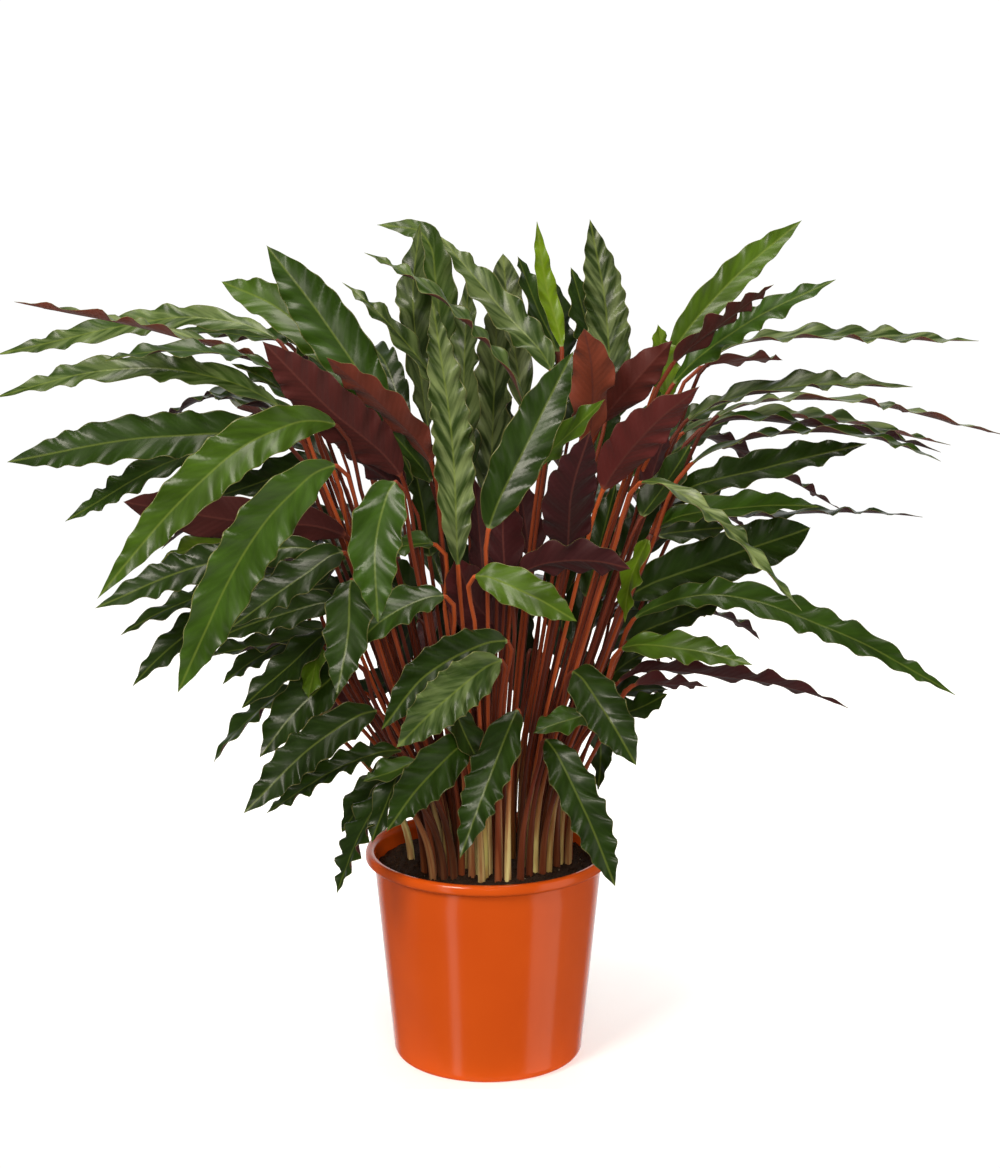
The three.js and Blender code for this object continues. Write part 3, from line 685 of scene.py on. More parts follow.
def blade_share(share, blunt):
    """Share of the full width: a quick rise from the neck, long near-parallel sides, sharp tip."""
    rise = 1 - (1 - np.clip(share / FULLEST_AT, 0, 1)) ** 2.3
    fall = np.clip((share - FULLEST_AT) / (1 - FULLEST_AT), 0, 1)
    return rise**0.8 * (1 - fall**blunt) ** 1.05


def leaf_mesh(spine, neck, uppers, width, manner):
    """Points, faces, face materials and attributes of one leaf.

    spine runs from the foot to the tip, neck is the index of the blade's start in it, and uppers
    are the upper face's normals from there on. manner holds the leaf's waves, age and chance.
    """
    knots = lengths_to(spine)
    stalk_at = knots[neck] * np.linspace(0, 1, STALK_STATIONS, endpoint=False)
    length = knots[-1] - knots[neck]
    blade_stations = int(length / manner["wave"] * STATIONS_A_WAVE)
    blade_at = knots[neck] + length * np.linspace(0, 1, blade_stations)
    at = np.concatenate((stalk_at, blade_at))
    centres = through(knots, spine, at)
    centres[:, 2] -= manner["drop"] * np.sin(math.pi * np.clip((at - knots[neck]) / length, 0, 1))
    tangents = unit(np.gradient(centres, at, axis=0))
    ups = np.empty_like(centres)
    ups[STALK_STATIONS:] = through(knots[neck:], uppers, blade_at)
    along = at - knots[neck]
    share = np.clip(along / length, 0, 1)
    for i in range(len(at) - 1, -1, -1):
        up = ups[i] if i >= STALK_STATIONS else ups[i + 1]
        up = up - tangents[i] * (up @ tangents[i])
        ups[i] = up / np.linalg.norm(up)
    twist = manner["twist"] * np.sin(math.pi * share) + manner["roll"] * share
    twist = twist + manner["turn"] * np.clip(share * 8, 0, 1)
    acrosses = np.cross(ups, tangents)
    turned_up = ups * np.cos(twist)[:, None] + acrosses * np.sin(twist)[:, None]
    acrosses = np.cross(turned_up, tangents)
    ups = np.cross(tangents, acrosses)

    half = np.maximum(width / 2 * blade_share(share, manner["blunt"]), LEAST_HALF)
    v = COLUMNS[None, :]
    side = np.where(v < 0, 0, 1)
    reach = np.abs(v)
    x = half[:, None] * v
    fade = (smooth_step(share, *WAVES_RISE) * (1 - smooth_step(share, *WAVES_FALL)))[:, None]
    lean = VEIN_LEAN * np.abs(x)
    slow = along / SWAY_LENGTH + manner["offset"]
    sway = manner["drift"] * np.sin(2 * math.pi * slow)[:, None]
    mirrored = np.where(side == 0, 1, -1)
    uneven = 1 + UNEVEN_SHARE * np.sin(2 * math.pi * UNEVEN_TURNS * slow)[:, None] * mirrored
    phase = 2 * math.pi * (along[:, None] - WAVE_LEAN * lean) / manner["wave"] + sway
    phase = phase + np.where(side == 0, manner["phase"][0], manner["phase"][1])
    ripple = np.sin(phase) + SECOND_WAVE * np.sin(2 * phase + 1.0)
    quilt = manner["quilt"] * reach + (1 - manner["quilt"]) * reach**1.8
    swell = manner["height"] * uneven * fade * quilt * (half[:, None] / (width / 2)) ** 0.5
    trough = half[:, None] * manner["trough"] * reach**1.4
    lift = trough + swell * ripple
    scallop = 1 + manner["scallop"] * fade * reach**3 * np.cos(phase)
    x = x * scallop * np.sqrt(np.maximum(1 - (manner["trough"] * reach) ** 2, 0.5))
    groove = GROOVE_DEPTH * np.exp(-((x / GROOVE_HALF) ** 2)) * (1 - share[:, None] ** 2)
    ridge = RIB_HEIGHT * np.exp(-((x / RIB_HALF) ** 2)) * (1 - share[:, None]) ** 0.7
    thick = BLADE_THICKNESS / 2 * (1 - 0.5 * reach) + 0 * x

    count = len(COLUMNS)
    angles = math.pi * (1 - (np.arange(count) + 0.5) / count)
    down = centres[:, 2] - SOIL_TOP
    radius = SHEATH_RADIUS + (STALK_RADIUS - SHEATH_RADIUS) * smooth_step(down, 0, SHEATH_LENGTH)
    knee = 1 + KNEE_SWELL * np.exp(-(((along + KNEE_BACK) / KNEE_HALF) ** 2))
    radius = (radius * knee * manner["stout"])[:, None]
    round_x, round_up = radius * np.cos(angles)[None, :], radius * np.sin(angles)[None, :]
    flat = smooth_step(along, 0, NECK_BLEND)[:, None]
    spread = round_x + (x - round_x) * flat
    across = np.concatenate((spread, spread[:, ::-1]), axis=1)
    top = round_up + (lift + thick - groove - round_up) * flat
    bottom = -round_up + (lift - thick - ridge + round_up) * flat
    rise = np.concatenate((top, bottom[:, ::-1]), axis=1)
    rings = centres[:, None] + acrosses[:, None] * across[..., None] + ups[:, None] * rise[..., None]

    stations, ring = rings.shape[:2]
    tip = centres[-1] + tangents[-1] * TIP_LENGTH
    points = np.vstack((rings.reshape(-1, 3), centres[:1], tip[None]))
    i = np.arange(stations - 1)[:, None] * ring
    k = np.arange(ring)[None, :]
    n = (k + 1) % ring
    near, beyond, far, across_far = i + k, i + n, i + ring + n, i + ring + k
    upper = (k < count) | (k == ring - 1)
    first = np.stack((near + 0 * k, beyond, np.where(upper, far, across_far)), axis=-1)
    second = np.stack((np.where(upper, near, beyond), far, across_far + 0 * k), axis=-1)
    triangles = np.stack((first, second), axis=2).reshape(-1, 3)
    blade = np.arange(stations - 1)[:, None] >= STALK_STATIONS + 1
    kinds = np.repeat(np.where(blade, np.where(upper, 0, 1), 2).ravel(), 2)
    last = (stations - 1) * ring
    caps = [(stations * ring, (j + 1) % ring, j) for j in range(ring)]
    caps += [(stations * ring + 1, last + j, last + (j + 1) % ring) for j in range(ring)]
    faces = [tuple(t) for t in triangles.tolist()] + caps
    kinds = np.concatenate((kinds, np.full(ring, 2), np.zeros(ring, int)))

    edge = np.concatenate((COLUMNS, COLUMNS[::-1]))[None, :] + 0 * across
    place = np.stack((along[:, None] / MM + 0 * across, across / MM, edge), axis=-1).reshape(-1, 3)
    on_stalk = np.arange(stations) < STALK_STATIONS + 2
    third = np.where(on_stalk, np.clip(down / MM / SHEATH_REACH, 0, 1), manner["lit"])
    age = np.stack((np.full(stations, manner["young"]), np.full(stations, manner["chance"]), third), axis=-1)
    age = np.repeat(age, ring, axis=0)
    place = np.vstack((place, place[:1], place[-1:]))
    age = np.vstack((age, age[:1], age[-1:]))
    return points, faces, kinds, place, age


def manner_of(name, attempt, **own):
    """How one leaf grew: its waves, twist, age and chance value, the same for the same name.

    own takes the place of what is drawn here. Lengths are in mm and angles in degrees, and come
    back in metres and radians.
    """
    dice = random.Random(f"{name}/{attempt}")
    manner = {
        "wave": dice.uniform(23, 31),
        "height": dice.uniform(2.7, 3.9),
        "quilt": 0.3,
        "phase": (dice.uniform(0, 2 * math.pi), dice.uniform(0, 2 * math.pi)),
        "drift": dice.uniform(0.6, 1.6),
        "slim": 1.0,
        "stout": 1.0,
        "drop": 0.0,
        "offset": dice.random(),
        "scallop": dice.uniform(0.03, 0.06),
        "blunt": dice.uniform(2.1, 3.0),
        "turn": 0.0,
        "trough": dice.uniform(0.1, 0.28),
        "twist": dice.uniform(-12, 12),
        "roll": dice.uniform(-14, 14),
        "young": dice.uniform(0.1, 0.4),
        "chance": dice.random(),
        "lit": 0.0,
    }
    manner.update(own)
    for key in ("wave", "height", "drop"):
        manner[key] *= MM
    for key in ("turn", "twist", "roll"):
        manner[key] = math.radians(manner[key])
    return manner


# The slots of a leaf's mesh, in the order that leaf_mesh numbers them
LEAF_FINISHES = (skin, underside, stalk_skin)
grown = []


def tree_of(points, faces):
    """A search tree of a leaf's faces."""
    return BVHTree.FromPolygons([Vector(p) for p in points.tolist()], faces)


def clashes(points, search):
    """How many pairs of faces, of this leaf and of those already grown, cut each other."""
    low, high = points.min(axis=0), points.max(axis=0)
    total = 0
    for other_low, other_high, other in grown:
        if (low < other_high).all() and (other_low < high).all():
            total += len(search.overlap(other))
    return total


def best_of(tries):
    """The first try that cuts no leaf already grown, or else the one that cuts the fewest faces.

    Each try is a leaf's mesh and its foot. Its search tree comes back between the two.
    """
    best = None
    for made, foot in tries:
        search = tree_of(made[0], made[1])
        hits = clashes(made[0], search)
        if best is None or hits < best[0]:
            best = (hits, made, search, foot)
        if hits == 0:
            break
    return best[1:]


def grow(name, made, search):
    """Adds a leaf's mesh as a piece that rides with the pot."""
    points, faces, kinds, place, age = made
    leaf = piece(name, points.tolist(), faces)
    mesh = leaf.data
    for finish in LEAF_FINISHES:
        mesh.materials.append(finish)
    mesh.polygons.foreach_set("material_index", kinds.astype(np.int32))
    for label, values in (("leaf_place", place), ("leaf_age", age)):
        layer = mesh.attributes.new(label, "FLOAT_VECTOR", "POINT")
        layer.data.foreach_set("vector", values.astype(np.float32).ravel())
    mesh.update()
    grown.append((points.min(axis=0), points.max(axis=0), search))
    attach(leaf, "root")
    return leaf


# Leaves that stand for the frame's own. The frame's solid of each is a row of six-point rings
# from its foot to its tip, with the blade's neck at the seventh, which give its midrib, its
# upper face and its width. Of a few throws of its waves, each keeps the one that cuts the fewest.
NECK_RING, RING_POINTS = 6, 6
FOOT_RING_DEPTH = 8 * MM
FINE_WIDTH = 1.04
TRIES = 3


def rings_of(node):
    """The rings of a leaf's solid, from its foot to its tip."""
    merged, index = {}, []
    for vertex in node.data.vertices:
        key = tuple(round(c, 6) for c in vertex.co)
        index.append(merged.setdefault(key, len(merged)))
    points = np.array(list(merged))
    near = [set() for _ in points]
    for edge in node.data.edges:
        a, b = (index[v] for v in edge.vertices)
        near[a].add(b)
        near[b].add(a)
    level = {i for i, p in enumerate(points) if p[2] < points[:, 2].min() + FOOT_RING_DEPTH}
    seen, rings = set(level), []
    while level:
        rings.append(points[sorted(level)])
        level = set().union(*(near[i] for i in level)) - seen
        seen |= level
    return rings


def read_leaf(node):
    """Spine, upper normals and width of a leaf, read off its solid in the frame."""
    rings = rings_of(node)
    foot = rings[0]
    spine, uppers, widths = [foot.mean(axis=0)], [], []
    for ring in rings[1:]:
        if len(ring) != RING_POINTS:
            continue
        gaps = np.linalg.norm(ring[:, None] - ring[None], axis=-1)
        a, b = np.unravel_index(gaps.argmax(), gaps.shape)
        inner = np.delete(ring, (a, b), axis=0)
        spine.append(inner.mean(axis=0) if len(spine) > NECK_RING else ring.mean(axis=0))
        if len(spine) > NECK_RING + 1:
            uppers.append((ring[a] + ring[b]) / 2 - inner.mean(axis=0))
            widths.append(gaps.max())
    uppers = unit(np.array(uppers))
    uppers[-1] = uppers[-2]
    uppers = np.vstack((uppers[:1], uppers))
    return np.array(spine), uppers, max(widths)


# What sets single leaves apart. YOUNG: 0 for the darkest old green, 1 for the newest lime. LIT: 1
# where light shines through the blade. FORMS: what takes the place of a blade's drawn manner.
# Names without "leaf_" are those of BETWEEN, below.
YOUNG = {
    "left": (0.4, 0.42, 0.35, 0.24, 0.5, 0.3, 0.3, 0.46, 0.15, 0.12, 0.12, 0.06, 0.15, 0.12),
    "top": (0.3, 0.5, 0.12, 0.45, 0.3, 0.1, 0.2, 0.16, 0.14),
    "inner": (0.2, 0.2, 0.2, 0.18, 0.2, 0.2),
    "front": (0.2, 0.24, 0.06, 0.16, 0.12, 0.14, 0.56, 0.2, 0.44, 0.16),
    "right": (0.56, 0.42, 0.35, 0.14, 0.4, 0.42, 0.12, 0.38, 0.14, 0.45, 0.52),
    "back": (0.2, 0.15, 0.3, 0.2, 0.12, 0.3, 0.15, 0.2),
}
LIT = {
    "leaf_left_01": 0.7, "leaf_left_02": 0.4, "leaf_left_03": 0.3, "leaf_left_07": 0.1,
    "leaf_top_03": 0.3, "leaf_top_04": 0.25, "leaf_top_05": 0.4, "leaf_top_06": 0.5, "leaf_top_07": 0.55,
    "leaf_top_08": 0.7, "leaf_top_09": 0.5, "leaf_inner_01": 0.1, "leaf_inner_02": 0.45, "leaf_inner_03": 0.7,
    "leaf_inner_06": 0.05, "leaf_front_02": 0.3, "leaf_right_03": 0.6, "leaf_right_04": 0.2,
    "leaf_right_05": 0.6, "leaf_right_06": 0.6, "leaf_right_08": 0.8,
    "edge_04": 0.3, "top_01": 0.3, "top_02": 0.3, "mid_03": 0.15, "right_01": 0.1, "right_02": 0.3,
    "fill_34": 0.4,
}
LONG = {"wave": 34, "height": 3.2, "scallop": 0.02}
VEINED = {"quilt": 0.55, "wave": 18, "height": 3.7, "scallop": 0.07}
RUFFLED = {"wave": 22, "height": 4.0, "scallop": 0.07, "quilt": 0.45}
FORMS = {
    "leaf_left_01": {**LONG, "turn": 4, "blunt": 3.2, "drop": 3},
    "leaf_left_02": {**LONG, "turn": 26, "slim": 0.66, "drop": 4},
    "leaf_left_03": {**LONG, "turn": 12, "slim": 0.72},
    "leaf_left_04": {"wave": 26, "height": 3.0, "blunt": 3.4, "drop": -1, "slim": 0.94},
    "leaf_left_06": {"slim": 0.86},
    "leaf_left_05": {"wave": 27, "height": 2.8, "trough": 0.12, "slim": 1.05, "drop": -5},
    "leaf_left_07": {"wave": 30, "height": 2.2, "blunt": 5},
    "leaf_left_08": {"wave": 27, "height": 3.0, "trough": 0.12, "blunt": 3.2},
    "leaf_left_09": {**RUFFLED, "wave": 26},
    "leaf_left_11": {**RUFFLED, "wave": 26, "slim": 1.1},
    "leaf_left_12": {**VEINED, "wave": 21, "slim": 0.92},
    "leaf_left_13": {**VEINED, "wave": 19, "slim": 0.9},
    "leaf_left_14": {**RUFFLED, "wave": 19, "slim": 1.3},
    "leaf_top_02": {"blunt": 2.8, "drop": -4},
    "leaf_top_03": {"slim": 0.9},
    "leaf_top_04": {"slim": 0.88, "drop": 4},
    "leaf_top_05": {"slim": 0.92, "drop": 6},
    "leaf_back_02": {"slim": 0.6},
    "leaf_back_04": {"slim": 0.7, "drop": 8},
    "leaf_back_05": {"slim": 0.6},
    "leaf_top_07": {**VEINED, "slim": 0.85},
    "leaf_top_08": {"blunt": 6, "slim": 0.74},
    "leaf_top_09": VEINED,
    "leaf_front_01": {**VEINED, "wave": 19},
    "leaf_front_02": {**VEINED, "wave": 16, "height": 3.6, "slim": 0.95},
    "leaf_front_03": {**RUFFLED, "wave": 20, "slim": 0.92},
    "leaf_front_04": {**VEINED, "wave": 19},
    "leaf_front_05": {**RUFFLED, "wave": 20, "slim": 0.93},
    "leaf_front_06": {**RUFFLED, "wave": 20, "slim": 0.93},
    "leaf_front_07": {"wave": 20, "height": 2.2},
    "leaf_front_10": RUFFLED,
    "leaf_right_01": {"blunt": 2.8, "height": 2.4, "slim": 0.82, "drop": -4},
    "leaf_right_02": {"blunt": 2.6, "slim": 0.76, "drop": -2},
    "leaf_right_03": {**LONG, "turn": 20, "drop": 3},
    "leaf_right_04": {**LONG, "turn": 20},
    "leaf_right_05": {**LONG, "turn": 24},
    "leaf_right_06": {**LONG, "turn": 20},
    "leaf_right_07": {"blunt": 2.8, "slim": 0.9},
    "leaf_inner_06": {"blunt": 1.8},
    "leaf_right_08": {"height": 2.6, "slim": 0.66, "turn": 16},
    "leaf_right_09": {"blunt": 6, "slim": 1.02, "drop": 3},
    "leaf_right_10": {"drop": 12, "wave": 30, "slim": 0.86},
    "edge_01": LONG,
    "right_03": LONG,
    "right_04": LONG,
    "right_05": {"wave": 30, "height": 2.4},
    "right_06": LONG,
    "right_08": LONG,
}

feet = []
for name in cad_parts:
    if not name.startswith("leaf"):
        continue
    spine, uppers, width = read_leaf(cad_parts[name])
    group, number = name.split("_")[1:]
    own = {"young": YOUNG[group][int(number) - 1], "lit": LIT.get(name, 0.0), **FORMS.get(name, {})}
    manners = (manner_of(name, attempt, **own) for attempt in range(TRIES))
    made, search, foot = best_of(
        (leaf_mesh(spine, NECK_RING, uppers, width * manner["slim"] * FINE_WIDTH, manner), spine[0][:2])
        for manner in manners
    )
    leaf = grow(name.replace("leaf_", "blade_"), made, search)
    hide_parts(name)
    feet.append(foot)


# Leaves between and behind those. Each is placed from where the picture shows its neck, middle
# and tip, with a judged depth for each, and slid along the line of sight until it is clear, or to
# where it cuts the others least. Its stalk bends out from one of the plant's five crowns.
FOOT_DEPTH, FOOT_CIRCLE, FOOT_OVERRUN, FOOT_SPACING = 18 * MM, 74 * MM, 4 * MM, 5.6 * MM
SPOTS, SPOT_SPACING, GOLDEN_ANGLE = 600, 1.1 * MM, 2.39996
# Painted shade: leaves among and behind the others get a low chance value. It makes their stalks a dark
# brown-red with little cream sheath and darkens their undersides. Their stalks are thinner too.
HIDDEN_STOUT, HIDDEN_SHADE_CHANCE = 0.8, 0.25
STALK_KNOTS, BLADE_KNOTS = 6, 8
FAN_LENGTH, FAN_CURVE = 229 * MM, 1.5
SETTLE_HEIGHT = 170 * MM
CROWNS = np.array([(-42, -28), (20, -50), (66, -4), (-30, 38), (32, 42)]) * MM
CROWN_PULL, CROWN_REACH, CROWN_LEAST = 0.85, 32 * MM, 0.05
SLIDE_STEP, SLIDES = 5 * MM, 17
EYE_FORWARD = np.array([0, math.cos(EYE_PITCH), -math.sin(EYE_PITCH)])
EYE_UP = np.array([0, math.sin(EYE_PITCH), math.cos(EYE_PITCH)])

# Name: the neck, middle and tip (u, v); their depths (y, mm); width (mm); turn (degrees, 0 to
# show the upper face, 90 edge on, 180 to show the underside); young
BETWEEN = {
    "edge_01": ((275, 372), (190, 351), (105, 361), (20, -10, -30), 30, 75, 0.3),
    "edge_02": ((290, 345), (240, 335), (180, 330), (100, 120, 135), 34, 70, 0.4),
    "edge_03": ((290, 420), (245, 401), (201, 397), (50, 60, 65), 36, 76, 0.3),
    "edge_04": ((292, 422), (262, 415), (237, 408), (75, 90, 105), 32, 102, 0.3),
    "left_01": ((300, 580), (190, 600), (121, 635), (10, 0, -15), 29, 62, 0.2),
    "left_02": ((270, 548), (205, 546), (161, 562), (45, 60, 70), 34, 66, 0.75),
    "left_03": ((270, 592), (190, 632), (133, 686), (-10, -45, -70), 34, 50, 0.14),
    "left_04": ((340, 605), (280, 615), (215, 640), (-35, -50, -65), 38, 35, 0.12),
    "left_05": ((325, 640), (262, 646), (205, 657), (-15, -20, -30), 34, 55, 0.12),
    "left_06": ((330, 630), (268, 652), (223, 684), (10, 10, 0), 34, 55, 0.14),
    "left_07": ((335, 632), (285, 670), (242, 708), (-25, -40, -55), 34, 45, 0.1),
    "left_08": ((300, 690), (246, 722), (214, 762), (25, 30, 25), 32, 65, 0.25),
    "left_09": ((365, 693), (340, 703), (312, 712), (0, 0, 0), 30, 110, 0.2),
    "left_10": ((410, 762), (376, 790), (342, 832), (-35, -50, -65), 37, 50, 0.14),
    "left_11": ((420, 762), (392, 772), (364, 781), (-72, -84, -92), 30, 50, 0.4),
    "left_12": ((320, 462), (262, 482), (208, 500), (35, 45, 50), 32, 45, 0.12),
    "left_13": ((345, 390), (312, 355), (280, 326), (80, 100, 115), 36, 50, 0.14),
    "mid_01": ((432, 485), (398, 440), (362, 404), (0, -10, -20), 32, 55, 0.25),
    "top_01": ((440, 395), (391, 326), (343, 283), (-10, 10, 30), 21, 48, 0.25),
    "top_02": ((525, 408), (455, 311), (365, 253), (-20, 0, 20), 30, 78, 0.4),
    "top_03": ((558, 356), (538, 310), (518, 257), (80, 100, 115), 36, 45, 0.2),
    "top_04": ((562, 350), (546, 285), (537, 222), (20, 30, 35), 16, 10, 0.85),
    "top_05": ((560, 372), (557, 328), (553, 280), (120, 130, 140), 36, 50, 0.12),
    "top_06": ((596, 365), (584, 315), (571, 268), (100, 110, 120), 38, 40, 0.25),
    "mid_02": ((500, 496), (555, 447), (604, 400), (-50, -60, -70), 34, 60, 0.55),
    "mid_03": ((600, 425), (636, 380), (672, 341), (0, -20, -30), 34, 155, 0.3),
    "top_07": ((667, 402), (663, 362), (658, 325), (0, 10, 20), 36, 55, 0.8),
    "low_01": ((452, 705), (465, 735), (480, 765), (-70, -80, -88), 32, 40, 0.12),
    "low_02": ((592, 716), (562, 722), (534, 733), (-30, -40, -50), 30, 50, 0.45),
    "low_03": ((610, 720), (640, 708), (667, 694), (10, 20, 25), 32, 50, 0.14),
    "low_04": ((446, 597), (395, 612), (350, 655), (-90, -110, -130), 38, 45, 0.3),
    "low_05": ((322, 645), (315, 668), (309, 698), (-80, -90, -98), 30, 50, 0.6),
    "low_06": ((436, 545), (410, 545), (384, 554), (-55, -60, -65), 30, 65, 0.35),
    "right_01": ((672, 365), (725, 320), (773, 285), (10, 0, -10), 34, 118, 0.3),
    "right_02": ((700, 368), (740, 361), (782, 360), (75, 90, 105), 30, 105, 0.3),
    "right_03": ((700, 430), (820, 427), (940, 452), (28, 32, 36), 36, 84, 0.45),
    "right_04": ((690, 465), (800, 432), (940, 461), (-40, -60, -80), 36, 78, 0.3),
    "right_05": ((655, 530), (740, 508), (818, 507), (-50, -80, -100), 34, 55, 0.4),
    "right_06": ((655, 540), (790, 514), (922, 517), (20, 30, 40), 36, 82, 0.3),
    "right_07": ((625, 645), (682, 616), (736, 594), (0, 0, 0), 38, 42, 0.1),
    "right_08": ((615, 685), (730, 677), (848, 708), (10, 0, -10), 34, 105, 0.2),
    "right_09": ((632, 686), (668, 684), (708, 687), (-5, -10, -15), 30, 105, 0.2),
    "low_07": ((650, 536), (632, 575), (625, 622), (-55, -60, -65), 28, 50, 0.7),
    "low_08": ((520, 575), (580, 560), (630, 569), (-100, -120, -130), 36, 135, 0.2),
    "fill_01": ((505, 580), (503, 530), (504, 480), (-30, -40, -45), 34, 150, 0.2),
    "fill_02": ((470, 470), (455, 420), (440, 362), (60, 80, 100), 38, 40, 0.06),
    "fill_03": ((500, 480), (494, 425), (490, 368), (70, 90, 110), 38, 30, 0.05),
    "fill_04": ((545, 470), (550, 420), (560, 360), (80, 100, 120), 38, 35, 0.08),
    "fill_05": ((590, 480), (600, 430), (612, 370), (70, 90, 110), 38, 40, 0.06),
    "fill_06": ((630, 480), (650, 430), (668, 372), (60, 80, 100), 36, 50, 0.1),
    "fill_07": ((420, 500), (400, 450), (375, 400), (50, 70, 90), 36, 50, 0.06),
    "fill_08": ((640, 560), (670, 530), (705, 500), (40, 60, 80), 34, 60, 0.1),
    "fill_09": ((655, 470), (690, 440), (730, 420), (50, 70, 90), 32, 65, 0.1),
    "fill_10": ((400, 560), (370, 540), (335, 525), (60, 80, 100), 36, 50, 0.06),
    "fill_11": ((380, 600), (345, 590), (305, 590), (60, 80, 100), 36, 50, 0.1),
    "fill_12": ((385, 640), (350, 640), (310, 650), (50, 70, 85), 34, 55, 0.06),
    "fill_13": ((400, 680), (370, 690), (335, 708), (40, 60, 75), 34, 50, 0.08),
    "fill_14": ((415, 720), (390, 735), (362, 755), (20, 30, 40), 30, 50, 0.1),
    "fill_15": ((610, 640), (640, 620), (672, 606), (50, 70, 90), 34, 55, 0.08),
    "fill_16": ((610, 700), (640, 690), (668, 690), (40, 60, 75), 32, 60, 0.1),
    "fill_17": ((470, 600), (455, 560), (440, 515), (30, 40, 50), 36, 35, 0.05),
    "fill_18": ((480, 640), (470, 600), (462, 560), (60, 70, 80), 34, 40, 0.06),
    "fill_19": ((560, 600), (565, 560), (572, 515), (60, 70, 80), 36, 40, 0.06),
    "fill_20": ((600, 600), (615, 565), (632, 525), (50, 60, 70), 34, 45, 0.06),
    "fill_21": ((530, 560), (525, 520), (518, 475), (20, 30, 40), 36, 140, 0.1),
    "fill_22": ((640, 520), (665, 485), (690, 445), (0, 15, 30), 36, 50, 0.08),
    "fill_23": ((645, 500), (655, 465), (668, 430), (30, 45, 60), 34, 130, 0.1),
    "back_01": ((450, 650), (436, 690), (425, 738), (70, 95, 110), 36, 40, 0.06),
    "back_02": ((490, 655), (488, 700), (482, 750), (90, 115, 130), 36, 30, 0.05),
    "back_03": ((530, 650), (534, 695), (540, 745), (80, 105, 125), 36, 30, 0.05),
    "back_04": ((570, 650), (582, 690), (598, 735), (80, 105, 120), 36, 40, 0.06),
    "back_05": ((505, 600), (515, 645), (520, 700), (110, 140, 160), 38, 30, 0.05),
    "back_06": ((545, 590), (560, 632), (572, 680), (110, 140, 160), 38, 35, 0.06),
    "back_07": ((465, 590), (455, 630), (448, 675), (110, 140, 160), 38, 40, 0.06),
    "back_08": ((420, 620), (398, 655), (378, 700), (80, 105, 125), 36, 45, 0.06),
    "back_09": ((395, 590), (362, 615), (332, 655), (95, 120, 140), 36, 50, 0.08),
    "back_10": ((360, 560), (318, 572), (275, 600), (70, 95, 115), 36, 50, 0.08),
    "back_11": ((350, 520), (305, 530), (255, 556), (60, 85, 100), 34, 55, 0.1),
    "back_12": ((375, 690), (340, 715), (308, 752), (60, 80, 100), 34, 45, 0.08),
    "back_13": ((430, 700), (412, 728), (398, 765), (40, 60, 75), 32, 40, 0.06),
    "back_14": ((620, 600), (650, 625), (672, 660), (90, 115, 130), 34, 45, 0.08),
    "back_16": ((570, 430), (580, 385), (590, 335), (130, 150, 165), 38, 35, 0.06),
    "fill_24": ((330, 430), (280, 388), (232, 364), (60, 80, 90), 34, 55, 0.2),
    "fill_25": ((410, 500), (378, 472), (338, 448), (-5, 0, 5), 34, 130, 0.2),
    "fill_26": ((430, 560), (424, 515), (414, 468), (15, 25, 35), 38, 40, 0.08),
    "fill_27": ((484, 590), (480, 535), (474, 478), (10, 20, 30), 36, 145, 0.15),
    "fill_28": ((585, 600), (600, 545), (616, 484), (10, 20, 30), 38, 45, 0.08),
    "fill_29": ((620, 560), (640, 525), (664, 492), (15, 25, 35), 34, 50, 0.1),
    "fill_30": ((430, 620), (408, 588), (384, 556), (30, 45, 55), 36, 50, 0.08),
    "fill_31": ((575, 650), (584, 608), (592, 562), (40, 50, 60), 36, 40, 0.06),
    "fill_32": ((592, 700), (600, 738), (598, 790), (20, 40, 55), 24, 40, 0.08),
    "fill_33": ((655, 538), (690, 531), (725, 528), (30, 45, 55), 32, 40, 0.1),
    "fill_34": ((466, 470), (464, 380), (470, 272), (70, 90, 110), 28, 30, 0.2),
    "fill_35": ((600, 692), (620, 668), (650, 652), (20, 30, 40), 30, 55, 0.12),
    "low_09": ((402, 770), (388, 800), (372, 842), (-60, -72, -80), 28, 45, 0.1),
    "back_18": ((650, 450), (690, 420), (735, 400), (110, 130, 150), 34, 55, 0.1),
}


def seen_at(picture, depth):
    """The point at a depth y that the camera sees at a picture point."""
    u, v = picture
    right = np.array([1, 0, 0]) * (u - PICTURE_WIDTH / 2) / EYE_FOCAL
    ray = EYE_FORWARD + right + EYE_UP * (PICTURE_HEIGHT / 2 - v) / EYE_FOCAL
    return EYE + ray * (depth * MM - EYE[1]) / ray[1]


def fan_at(z):
    """How far the fan of stalks has spread at a height, against its spread at the soil."""
    return 1 + (max(z - SOIL_TOP, 0) / FAN_LENGTH) ** FAN_CURVE


def foot_for(spread):
    """The free spot nearest to where a stalk of this spread would leave a crown."""
    weights = np.exp(-((CROWNS - spread) ** 2).sum(axis=1) / (2 * CROWN_REACH**2))
    pull = ((CROWNS - spread) * weights[:, None]).sum(axis=0) / (weights.sum() + CROWN_LEAST)
    wanted = spread + pull * CROWN_PULL
    wanted = wanted * min(1, FOOT_CIRCLE / np.linalg.norm(wanted))
    for i in range(SPOTS):
        angle, radius = i * GOLDEN_ANGLE, SPOT_SPACING * math.sqrt(i)
        spot = wanted + radius * np.array([math.cos(angle), math.sin(angle)])
        gaps = [np.linalg.norm(spot - foot) for foot in feet]
        if min(gaps) >= FOOT_SPACING and np.linalg.norm(spot) <= FOOT_CIRCLE + FOOT_OVERRUN:
            return spot
    return wanted


def upper_at(point, tangent, turn):
    """Normal of the upper face at a midrib point: upwards where no turn is given."""
    if turn is None:
        return np.array([0, 0, 1]) - tangent * tangent[2]
    towards = EYE - point
    towards = unit(towards - tangent * (towards @ tangent))
    side = np.cross(tangent, towards)
    if side[2] < 0:
        side = -side
    return towards * math.cos(turn) + side * math.sin(turn)


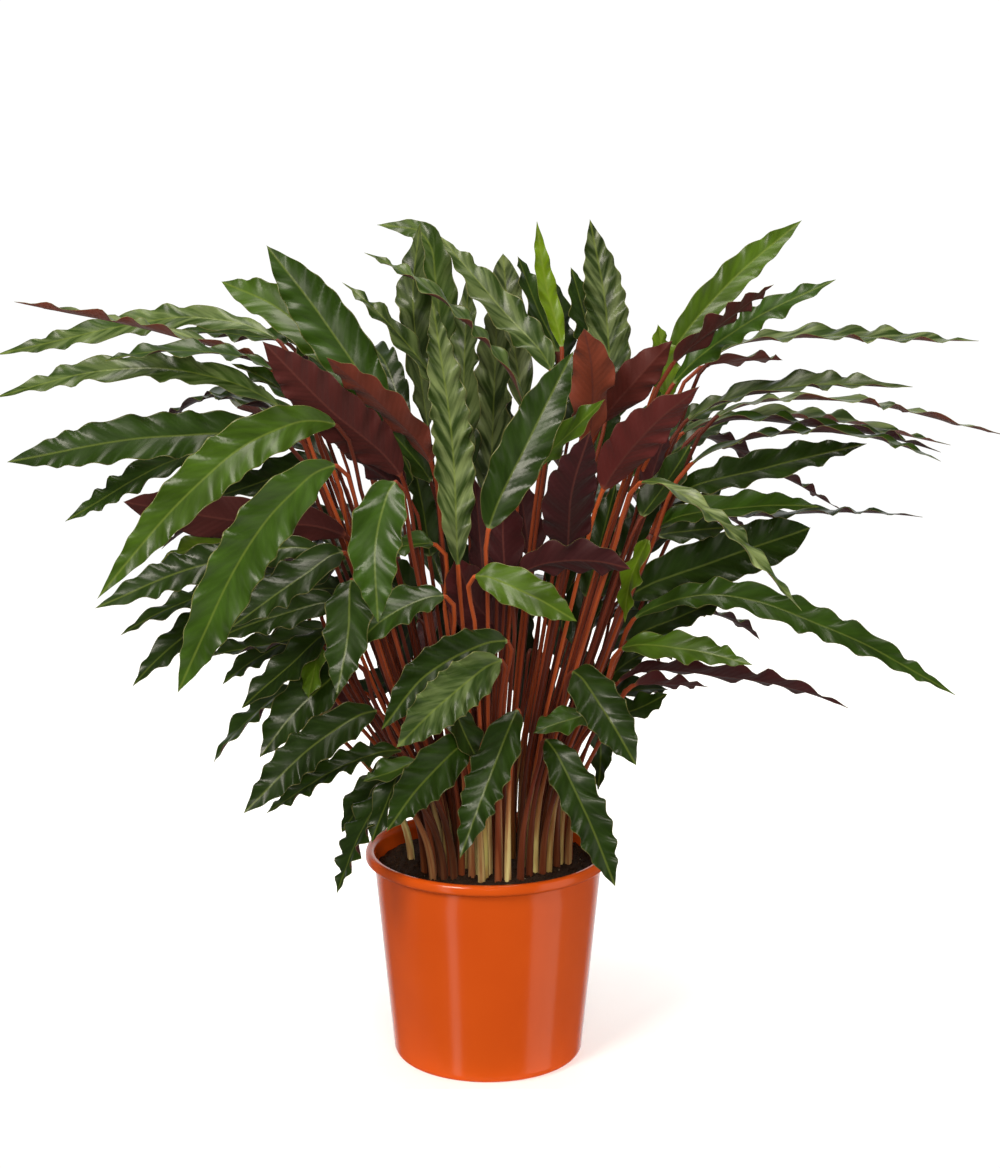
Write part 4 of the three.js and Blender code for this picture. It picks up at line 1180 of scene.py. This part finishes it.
def added_leaf(blade, turn):
    """Spine, neck's index, upper normals and foot of a leaf with these blade points."""
    blade = np.array(blade)
    spread = blade[0][:2] / fan_at(blade[0][2])
    foot = foot_for(spread)
    rise = blade[0][2] - SOIL_TOP
    spine = [(foot[0], foot[1], SOIL_TOP - FOOT_DEPTH)]
    for height in np.linspace(0.02, 1, STALK_KNOTS)[:-1] * rise:
        settled = min(height / min(rise, SETTLE_HEIGHT), 1)
        settled = settled * settled * (3 - 2 * settled)
        x, y = foot + (spread * fan_at(SOIL_TOP + height) - foot) * settled
        spine.append((x, y, SOIL_TOP + height))
    rough = np.vstack((spine, blade))
    knots = lengths_to(rough)
    neck = len(spine)
    blade_at = np.linspace(knots[neck], knots[-1], BLADE_KNOTS)
    at = np.concatenate((knots[:neck], blade_at))
    smooth = through(knots, rough, at)
    tangents = unit(np.gradient(smooth, at, axis=0))
    uppers = [upper_at(p, t, turn) for p, t in zip(smooth[neck:], tangents[neck:])]
    return smooth, neck, unit(np.array(uppers)), foot


def slid(name, blade_at, width, turn, own):
    """An added leaf's mesh and foot at each place in turn, first one way and then the other."""
    for attempt in range(SLIDES):
        slide = SLIDE_STEP * math.ceil(attempt / 2) * (1 if attempt % 2 else -1)
        spine, neck, uppers, foot = added_leaf(blade_at(slide / MM), turn)
        yield leaf_mesh(spine, neck, uppers, width * MM, manner_of(name, attempt, **own)), foot


def settle(name, blade_at, width, turn, **own):
    """Grows an added leaf where it cuts into the others least. blade_at gives its points."""
    made, search, foot = best_of(slid(name, blade_at, width, turn, own))
    feet.append(foot)
    grow(name, made, search)


for name, (neck, middle, tip, depths, width, turn, young) in BETWEEN.items():

    def blade_at(slide):
        return [seen_at(p, y + slide) for p, y in zip((neck, middle, tip), depths)]

    own = {"young": young, "lit": LIT.get(name, 0.0), **FORMS.get(name, {})}
    # Painted shade: a low chance value darkens the stalks and undersides of the leaves inside the plant
    if name.startswith(("fill", "back")):
        own["chance"], own["stout"] = HIDDEN_SHADE_CHANCE, HIDDEN_STOUT
    settle("between_" + name, blade_at, width, math.radians(turn), **own)


# Far side, which the picture hides: three tiers of leaves that arch away from the viewer. Each
# tier gives its necks' height and distance from the pot's axis, and its blades' reach (mm).
FAR_COUNT, FAR_WIDTH = 18, 38
FAR_FIRST, FAR_SPREAD, FAR_SWAY = 34, 116, 4
FAR_ARCH, FAR_DROOP = 0.16, 0.05
FAR_TIERS = ((300, 95, 190), (375, 110, 215), (450, 120, 200))
far_dice = random.Random(11)
for index in range(FAR_COUNT):
    heading = FAR_FIRST + FAR_SPREAD * (index + 0.5) / FAR_COUNT
    heading = math.radians(heading + far_dice.uniform(-FAR_SWAY, FAR_SWAY))
    neck_z, neck_reach, span = FAR_TIERS[index * 2 % 3]
    span *= far_dice.uniform(0.85, 1.05)
    away = np.array([math.cos(heading), math.sin(heading), 0])

    def blade_at(slide):
        start = away * (neck_reach + slide) + np.array([0, 0, neck_z + slide])
        middle = start + away * span * 0.5 + np.array([0, 0, span * FAR_ARCH])
        end = start + away * span - np.array([0, 0, span * FAR_DROOP])
        return [p * MM for p in (start, middle, end)]

    own = {"young": far_dice.uniform(0.05, 0.4), "stout": HIDDEN_STOUT}
    settle(f"far_{index + 1:02d}", blade_at, FAR_WIDTH, None, **own)
